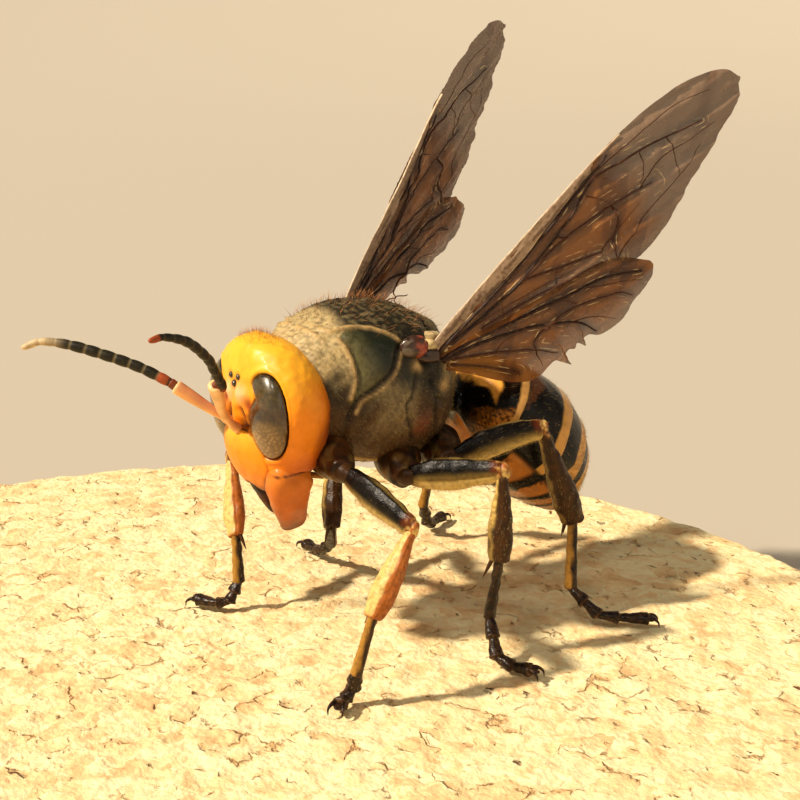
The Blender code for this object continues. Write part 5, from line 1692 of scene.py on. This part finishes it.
LEG_JOINTS = {
    (LegPair.FORE, "L"): ((-0.1, 9.0, 17.8), (3.1, 8.3, 17.2), (9.0, 9.3, 15.1), (9.3, 6.4, 10.6),
                        (8.8, 5.6, 7.2), (8.3, 5.7, 6.3), (8.3, 5.2, 5.8), (8.8, 4.5, 5.8)),
    (LegPair.FORE, "R"): ((-3.9, 9.2, 17.8), (-6.2, 9.6, 16.4), (-11.6, 8.4, 14.4), (-8.0, 6.8, 10.2),
                        (-7.8, 6.8, 7.0), (-7.7, 6.0, 6.0), (-8.2, 5.4, 5.8), (-9.5, 4.6, 5.8)),
    (LegPair.MID, "L"): ((0.3, 14.0, 16.6), (2.6, 13.0, 15.9), (8.0, 16.5, 17.0), (8.1, 16.3, 11.5),
                       (7.6, 16.0, 7.7), (9.4, 15.2, 6.1), (10.3, 15.6, 5.8), (11.4, 16.1, 5.8)),
    (LegPair.MID, "R"): ((-4.3, 14.0, 16.6), (-6.6, 13.0, 15.9), (-10.8, 16.2, 14.6), (-8.3, 14.4, 9.2),
                       (-10.7, 15.8, 6.9), (-12.4, 15.9, 6.1), (-13.2, 16.1, 5.8), (-14.8, 16.1, 5.8)),
    (LegPair.HIND, "L"): ((0.1, 17.4, 16.6), (3.0, 16.2, 16.4), (5.0, 22.0, 18.1), (5.2, 24.7, 11.6),
                        (5.9, 24.1, 7.2), (7.8, 24.8, 6.0), (8.6, 25.8, 5.8), (9.8, 27.3, 5.8)),
    (LegPair.HIND, "R"): ((-4.1, 17.4, 16.6), (-7.0, 16.2, 16.4), (-8.5, 23.0, 18.2), (-10.6, 25.0, 12.6),
                        (-11.8, 24.7, 7.9), (-12.8, 25.8, 6.3), (-13.4, 26.6, 5.8), (-14.3, 28.3, 5.8)),
}


@dataclass(frozen=True)
class WingPlane:
    """A wing's own plane: its root in space, the way of its front edge and of its chord."""

    root: Triple
    front: Triple
    chord: Triple

    def place(self, u: Array, v: Array, w: Array) -> Array:
        """Places in space of points u along the front edge, v along the chord and w off the plane."""
        front = unit(self.front)
        chord = np.array(self.chord)
        chord = unit(chord - (chord @ front) * front)
        normal = np.cross(front, chord)
        u, v, w = np.broadcast_arrays(u, v, w)
        return np.array(self.root) + u[..., None] * front + v[..., None] * chord + w[..., None] * normal

    def facing(self) -> Triple:
        """The direction off the plane."""
        front = unit(self.front)
        return tuple(unit(np.cross(front, np.array(self.chord))))


WING_PLANES = {
    "L": WingPlane((2.3, 16.4, 24.1), (0.22, 0.66, 0.72), (0.24, 0.68, -0.695)),
    "R": WingPlane((-6.5, 14.5, 24.8), (-0.1, 0.56, 0.82), (-0.38, 0.74, -0.556)),
}


@dataclass
class Wing:
    """One wing: a thin creased membrane between its front and rear edge, with veins along it.

    Attributes:
        kind: fore or hind.
        side: L or R.
        front: Its front edge from root to tip, in its plane.
        rear: Its rear edge from root to tip.
        veins: Its veins, each from its start to its end.
        faint: Its finest veins.
        behind: How far its plane lies behind the fore wing's, where it hooks under its rear edge.
        band: The stiff front edge as rows of place along the wing, middle and half width.
    """

    kind: str
    side: str
    front: tuple
    rear: tuple
    veins: tuple
    faint: tuple
    behind: float = 0.0
    band: tuple = ()
    thickness: float = 0.05
    stations: int = 260
    columns: int = 88

    def lift(self, u: Array, v: Array) -> Array:
        """Height off the plane: creases that follow the veins, a fan of folds and a gentle bow."""
        flat = np.stack(np.broadcast_arrays(u, v, 0.0 * u), axis=-1)
        creases = sum(bell(distance_to_line(flat, np.array([(*point, 0.0) for point in vein])), 0.22)
                      for vein in self.veins)
        fan = 0.12 * np.sin(3.4 * v - 0.9 * u) + 0.06 * np.sin(7.1 * v - 1.7 * u + 0.6)
        fan = fan + 0.018 * np.sin(15.0 * v - 3.4 * u)
        crinkle = 0.05 * ripple(flat * (0.6, 1.0, 1.0), 0.9, 140) + 0.02 * ripple(flat, 0.35, 143)
        return self.behind - 0.1 * creases + (fan + crinkle) * smooth(0.0, 4.0, u)

    def membrane(self) -> Surface:
        """The membrane as a thin closed leaf, its two faces a small thickness apart."""
        front = resampled(self.front, self.stations)[:, None]
        rear = resampled(self.rear, self.stations)[:, None]
        place = 0.5 - 0.5 * np.cos(np.linspace(0, np.pi, self.columns))
        flat = front * (1 - place[None, :, None]) + rear * place[None, :, None]
        u, v = flat[..., 0], flat[..., 1]
        lift = self.lift(u, v)
        half = self.thickness / 2 * np.minimum(1.0, 10 * np.minimum(place, 1 - place) + 0.25)[None]
        plane = WING_PLANES[self.side]
        upper, lower = plane.place(u, v, lift + half), plane.place(u, v, lift - half)
        rings = np.concatenate([upper, lower[:, ::-1]], axis=1)
        spot = np.stack([u, v, 0 * u], -1)
        near = np.min([distance_to_line(spot, np.array([(*point, 0.0) for point in vein]))
                       for vein in self.veins], axis=0)
        margin = np.maximum(smooth(12.5, 17.0, u + 0.5 * ripple(spot, 2.0, 144)),
                            smooth(0.72, 1.0, place)[None] * smooth(3.0, 9.0, u))
        along = spot * (0.22, 1.0, 0.0) + np.array((0.0, 0.35, 0.0)) * u[..., None]
        thin = 0.5 * smooth(0.5, 0.9, place)[None] * smooth(1.0, 3.0, u) if self.kind == "hind" else 0.0
        stiff = distance_to_line(spot, np.array([(*point, 0.0) for point in self.veins[0]]))
        near_vein = np.maximum(0.7 * bell(near, 0.3), 0.8 * bell(stiff, 0.45))
        values = {"margin": margin, "clear": np.maximum(0.35 * margin, thin), "beside": near,
                  "near_vein": near_vein, "cloud": 0.65 * smooth(0.1, 0.9, ripple(along, 1.1, 145))}
        paint = {name: np.clip(np.concatenate([grid, grid[:, ::-1]], axis=1), 0, 1)
                 for name, grid in values.items()}
        return loft(rings, paint)

    def rod(self, vein: tuple, radius: float) -> Surface:
        """One vein: a thin rod on the membrane that tapers outwards."""
        plane = WING_PLANES[self.side]
        path = resampled(vein, 60)
        share = np.linspace(0, 1, 60)
        radii = radius * (1 - 0.55 * share)
        places = plane.place(path[:, 0], path[:, 1], self.lift(path[:, 0], path[:, 1]) - 0.02)
        rings = round_ends(sweep(places, radii, radii, plane.facing(), 10), 0.05, 0.03, 2)
        return loft(rings, {"amber": 0.2 if radius > 0.08 else 0.8})

    def ribs(self) -> Surface:
        """The veins, and on a fore wing the stiff flat front edge that widens and narrows again."""
        parts = [self.rod(vein, 0.13 if number < 2 else 0.08) for number, vein in enumerate(self.veins)]
        parts += [self.rod(vein, 0.04) for vein in self.faint]
        if self.band:
            plane = WING_PLANES[self.side]
            rows = resampled(self.band, 170)
            u, v, wide = rows.T
            places = plane.place(u, v, 0.1 * np.sin(0.5 * u) - 0.12)
            rings = round_ends(sweep(places, wide, 0.1 + 0 * wide, plane.facing(), 48, 2.8), 0.1, 0.05, 3)
            wide = np.concatenate([np.full(3, wide[0]), wide, np.full(3, wide[-1])])[:, None]
            lanes = np.stack([0.12 * u, v, 0 * u], axis=-1)
            lanes = np.concatenate([lanes[:1]] * 3 + [lanes] + [lanes[-1:]] * 3)[:, None]
            lanes = lanes + (rings - rings.mean(axis=1, keepdims=True))
            grain = ripple(lanes, 0.3, 142) + 0.4 * ripple(rings, 0.3, 146)
            rings = raised(rings, 0.02 * grain * np.minimum(1.0, wide / 0.3))
            rim = smooth(0.75, 0.95, np.abs(np.cos(around(48))))[None]
            paint = {"costa": 1.0, "pale": 0.7 * rim, "seam": 0.7 * smooth(0.1, 1.2, grain) * (1 - 0.8 * rim)}
            parts.append(loft(rings, paint))
        return Surface.joined(parts)

    def build(self) -> None:
        """Makes the membrane, which stands for the CAD wing, and its veins."""
        name = "%s_%s" % (self.kind, self.side)
        make_piece("membrane_" + name, self.membrane(), Membrane(), ["wing_" + name])
        make_piece("veins_" + name, self.ribs(), VEIN_HORN)


FOREWING_FRONT = ((-1.9, -0.4), (1.5, -0.35), (5.2, -0.45), (9.2, -0.6), (14.6, -0.6), (18.0, -0.4),
                  (21.5, 0.3), (24.0, 1.6), (24.6, 2.8))
FOREWING_REAR = ((-1.9, 0.5), (0.0, 0.9), (2.9, 2.1), (7.1, 3.5), (10.7, 4.9), (11.7, 5.8), (13.6, 6.1),
                 (16.5, 5.5), (19.0, 4.9), (21.4, 4.4), (23.6, 3.8), (24.6, 2.9))
FOREWING_BAND = ((-1.5, -0.2, 0.24), (0.0, -0.25, 0.34), (3.0, -0.22, 0.42), (6.0, -0.24, 0.48),
                 (8.0, -0.34, 0.44), (10.7, -0.48, 0.3), (13.0, -0.52, 0.2), (15.0, -0.55, 0.1),
                 (16.5, -0.5, 0.05))
FOREWING_VEINS = (
    ((-0.9, 0.25), (2.9, 0.3), (6.1, 0.36), (9.5, 0.1), (13.5, -0.1), (15.0, -0.3)),
    ((0.0, 0.45), (3.0, 0.9), (5.7, 1.05), (9.5, 0.85), (13.4, 0.15)),
    ((5.8, 1.05), (8.0, 2.4), (10.6, 3.8)),
    ((6.1, 1.1), (9.5, 1.4), (13.2, 2.26), (16.0, 3.2)),
    ((13.2, 2.26), (12.7, 3.3), (11.6, 4.0), (11.1, 4.9)),
    ((13.4, 0.1), (16.8, 1.2), (18.2, 1.75), (20.9, 2.84)),
    ((2.0, 1.3), (6.0, 2.6), (10.2, 4.3)),
    ((9.6, 1.4), (9.3, 0.9)),
)
FOREWING_FAINT = (
    ((14.0, 0.0), (17.0, 0.3), (20.4, 0.9), (22.6, 1.9)),
    ((15.3, 2.9), (17.5, 2.6), (19.6, 3.2), (21.5, 3.6)),
    ((11.2, 4.9), (14.2, 4.4), (17.5, 4.3), (20.0, 4.0)),
    ((16.8, 1.2), (16.2, 2.2), (15.3, 2.9)), ((18.6, 1.9), (18.4, 2.8), (17.6, 4.3)),
    ((12.4, 0.6), (12.9, 1.4), (13.2, 2.2)), ((3.4, 1.9), (4.0, 1.2)), ((7.9, 2.4), (7.2, 3.0)),
    ((10.6, 3.8), (12.2, 3.7), (14.6, 3.5)), ((1.0, 0.6), (4.5, 1.7), (9.0, 3.4)),
)
HINDWING_FRONT = ((-1.9, 0.5), (0.0, 0.75), (2.9, 1.85), (7.1, 3.2), (10.7, 4.6), (12.4, 6.5), (12.6, 7.1))
HINDWING_REAR = {
    "L": ((-1.5, 1.3), (-0.5, 2.9), (0.4, 4.6), (1.4, 5.9), (2.3, 6.45), (3.7, 6.55), (4.0, 6.95),
          (4.35, 7.6), (4.4, 6.9), (4.9, 6.75), (5.2, 7.0), (5.6, 6.9), (5.85, 7.5), (6.0, 7.05),
          (6.5, 7.1), (6.9, 7.6),
          (7.4, 7.9), (8.5, 8.15), (9.9, 7.85), (11.1, 7.75), (12.2, 7.6), (12.55, 7.2)),
    "R": ((-1.5, 1.3), (-0.5, 2.2), (0.8, 3.0), (2.4, 3.9), (4.2, 5.0), (4.9, 5.9), (5.6, 5.9), (6.4, 6.9),
          (8.3, 8.3), (10.1, 9.0), (11.5, 9.3), (12.5, 8.7), (12.7, 7.9)),
}
HINDWING_VEINS = (
    ((-1.14, 0.8), (0.94, 1.35), (3.5, 2.5), (6.67, 3.95), (10.0, 5.4), (11.7, 6.8)),
    ((-1.1, 0.95), (0.94, 1.75), (3.0, 3.0), (4.9, 4.3), (6.5, 5.9), (6.95, 7.2)),
    ((5.0, 4.6), (4.4, 4.45), (3.64, 4.62), (3.3, 5.2)),
    ((5.0, 4.5), (7.0, 5.0), (9.6, 6.6), (10.2, 7.4)),
    ((-0.6, 1.3), (1.5, 3.1), (3.11, 4.69), (4.2, 6.2)),
    ((-0.9, 1.5), (0.4, 3.2), (1.6, 5.2)),
)
HINDWING_FAINT = (
    ((6.7, 4.0), (7.4, 5.1)), ((8.4, 4.8), (10.2, 6.2), (11.4, 7.3)), ((3.3, 5.2), (3.0, 6.1)),
    ((6.0, 5.4), (7.6, 6.6), (8.4, 7.7)), ((1.5, 3.1), (2.6, 3.1), (3.6, 3.6)),
)


@dataclass
class WingHinge:
    """The straw-coloured hinge plates and the dark membrane between a wing's root and the thorax."""

    side: str

    def build(self) -> None:
        """Makes the plates: flattened rounded lumps from the thorax's side up to the wing's root."""
        sign = 1 if self.side == "L" else -1
        lumps = (((3.85, 2.0, 2.75), (0.55, 0.9, 0.4), 0.9), ((3.75, 3.1, 2.5), (0.6, 0.8, 0.45), 0.5),
                 ((4.1, 1.9, 2.1), (0.5, 1.2, 0.5), 0.0), ((3.5, 2.5, 3.2), (0.5, 0.7, 0.35), 0.8))
        parts = []
        for middle, size, pale in lumps:
            local = lump(middle, size, 16, 28) * (sign, 1, 1)
            local += 0.06 * ripple(local, 0.7, 150)[..., None] * np.array((sign, 0, 1))
            parts.append(loft(THORAX_PLACING.place(local), {"pale": pale}))
        make_piece("wing_hinge_" + self.side, Surface.joined(parts), TEGULA_CHITIN)


@dataclass
class CorkDisc:
    """The disc of pressed cork, its top face slightly uneven and its edges worn."""

    radius: float = 45.0
    thickness: float = 5.0
    worn: float = 0.5
    sides: int = 420

    def build(self) -> None:
        """Makes the disc: rings out along the underside, up the rim, and in over the top."""
        under = [(radius, 0.0) for radius in np.linspace(1.0, self.radius - self.worn, 8)]
        corner = [(self.radius - self.worn * (1 - math.sin(a)), self.worn * (1 - math.cos(a)))
                  for a in np.linspace(0.3, 1.5, 5)]
        wall = [(self.radius, height) for height in np.linspace(self.worn, self.thickness - self.worn, 9)]
        upper = [(radius, self.thickness - height) for radius, height in reversed(corner)]
        top = [(radius, self.thickness) for radius in np.linspace(self.radius - self.worn, 1.0, 180)]
        profile = np.array(under + corner + wall + upper + top)
        turn = around(self.sides)
        radius, height = profile[:, 0, None], profile[:, 1, None]
        rings = np.stack([radius * np.cos(turn), radius * np.sin(turn), height + 0 * turn], axis=-1)
        high = smooth(self.thickness - 1.0, self.thickness, height)
        flat = rings * (1, 1, 0)
        crumb = 0.05 * ripple(flat, 3.0, 160) + 0.05 * ripple(flat, 1.3, 162) + 0.03 * ripple(flat, 0.7, 163)
        rings[..., 2] += high * (crumb - 0.05)
        edge = smooth(0.3, 1.0, height) * smooth(self.radius - 1.5, self.radius, radius)
        rough = 0.07 * ripple(rings, 1.3, 161) * edge - 0.1 * edge
        rings[..., 0] += rough * np.cos(turn)
        rings[..., 1] += rough * np.sin(turn)
        make_piece("cork_disc", loft(rings), Cork(), ["base_disc"])


@dataclass
class Studio:
    """The pale floor that sweeps up far away, the soft lights and the camera at the photograph's angle."""

    camera_at: Triple = (66.4, -30.6, 39.7)
    camera_right: Triple = (0.562, 0.827, 0.0)
    camera_up: Triple = (-0.197, 0.134, 0.971)
    camera_back: Triple = (0.803, -0.546, 0.2385)
    lens: float = 59.0
    lamps: tuple = (("key_lamp", (-0.17, -0.68, 0.71), 4.9, 3.5, "#FFEFD6"),
                    ("fill_lamp", (0.9, 0.25, 0.35), 0.3, 40.0, "#FFF0DC"),
                    ("glint_lamp", (0.3, -0.47, 0.83), 0.4, 9.0, "#FFF8EA"))

    def sun(self, name: str, towards: Triple, power: float, spread: float, colour: str) -> None:
        """A distant soft lamp.

        Args:
            name: Its name.
            towards: The way from the model to the lamp.
            power: Its power in watts for each square metre.
            spread: The angle that it fills, in degrees, which softens its shadows.
            colour: Its colour.
        """
        data = bpy.data.lights.new(name, "SUN")
        data.energy = power
        data.angle = math.radians(spread)
        data.color = linear_colour(colour)[:3]
        light = bpy.data.objects.new(name, data)
        light.rotation_euler = Vector(towards).to_track_quat("Z", "Y").to_euler()
        bpy.context.scene.collection.objects.link(light)

    def floor(self) -> None:
        """A round floor, flat under the model, that rises far away by the square of the distance."""
        turn = around(96)
        radius = np.array([1.0, 300.0, 900.0, 1300.0, 1700.0, 2100.0, 2500.0, 2900.0, 3300.0])[:, None]
        height = 900.0 * (np.maximum(0.0, radius - 900.0) / 2400.0) ** 2 - 0.02
        top = np.stack([radius * np.cos(turn), radius * np.sin(turn), height + 0 * turn], axis=-1)
        surface = loft(np.concatenate([top, (top - (0, 0, 3.0))[::-1]]))
        data = bpy.data.meshes.new("floor")
        faces = surface.quads.tolist() + surface.triangles.tolist()
        data.from_pydata((surface.points * MM).tolist(), [], faces)
        data.shade_smooth()
        material = bpy.data.materials.new("matt_paper")
        material.use_nodes = True
        shader = material.node_tree.nodes["Principled BSDF"]
        shader.inputs["Base Color"].default_value = linear_colour("#BFB6A8")
        shader.inputs["Roughness"].default_value = 0.9
        data.materials.append(material)
        floor = bpy.data.objects.new("floor", data)
        bpy.context.scene.collection.objects.link(floor)

    def build(self) -> None:
        """Makes the camera, the lights, the pale surroundings and the floor."""
        data = bpy.data.cameras.new("camera")
        data.lens = self.lens
        data.sensor_width = 36.0
        data.clip_start = 0.001
        camera = bpy.data.objects.new("camera", data)
        axes = Matrix((self.camera_right, self.camera_up, self.camera_back)).transposed()
        camera.matrix_world = Matrix.Translation(Vector(self.camera_at) * MM) @ axes.to_4x4()
        bpy.context.scene.collection.objects.link(camera)
        bpy.context.scene.camera = camera
        for lamp in self.lamps:
            self.sun(*lamp)
        world = bpy.data.worlds.new("pale_room")
        world.use_nodes = True
        sky = world.node_tree.nodes["Background"]
        sky.inputs["Color"].default_value = linear_colour("#F2E2CC")
        sky.inputs["Strength"].default_value = 0.22
        bpy.context.scene.world = world
        bpy.context.scene.view_settings.view_transform = "Standard"
        self.floor()


def main() -> None:
    """Builds the specimen, its board and the studio."""
    logging.basicConfig(level=logging.INFO, format="%(name)s %(message)s")
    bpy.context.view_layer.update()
    CorkDisc().build()
    Head().build()
    Antennae().build()
    Thorax().build()
    Gaster().build()
    hair = [Leg(pair, side, joints).build(number)
            for number, ((pair, side), joints) in enumerate(LEG_JOINTS.items())]
    make_piece("leg_hair", Surface.joined(hair), GOLD_HAIR)
    for side in "LR":
        Wing("fore", side, FOREWING_FRONT, FOREWING_REAR, FOREWING_VEINS, FOREWING_FAINT, 0.0,
             FOREWING_BAND).build()
        Wing("hind", side, HINDWING_FRONT, HINDWING_REAR[side], HINDWING_VEINS, HINDWING_FAINT, 0.22).build()
        WingHinge(side).build()
    Studio().build()


if __name__ == "__main__":
    main()
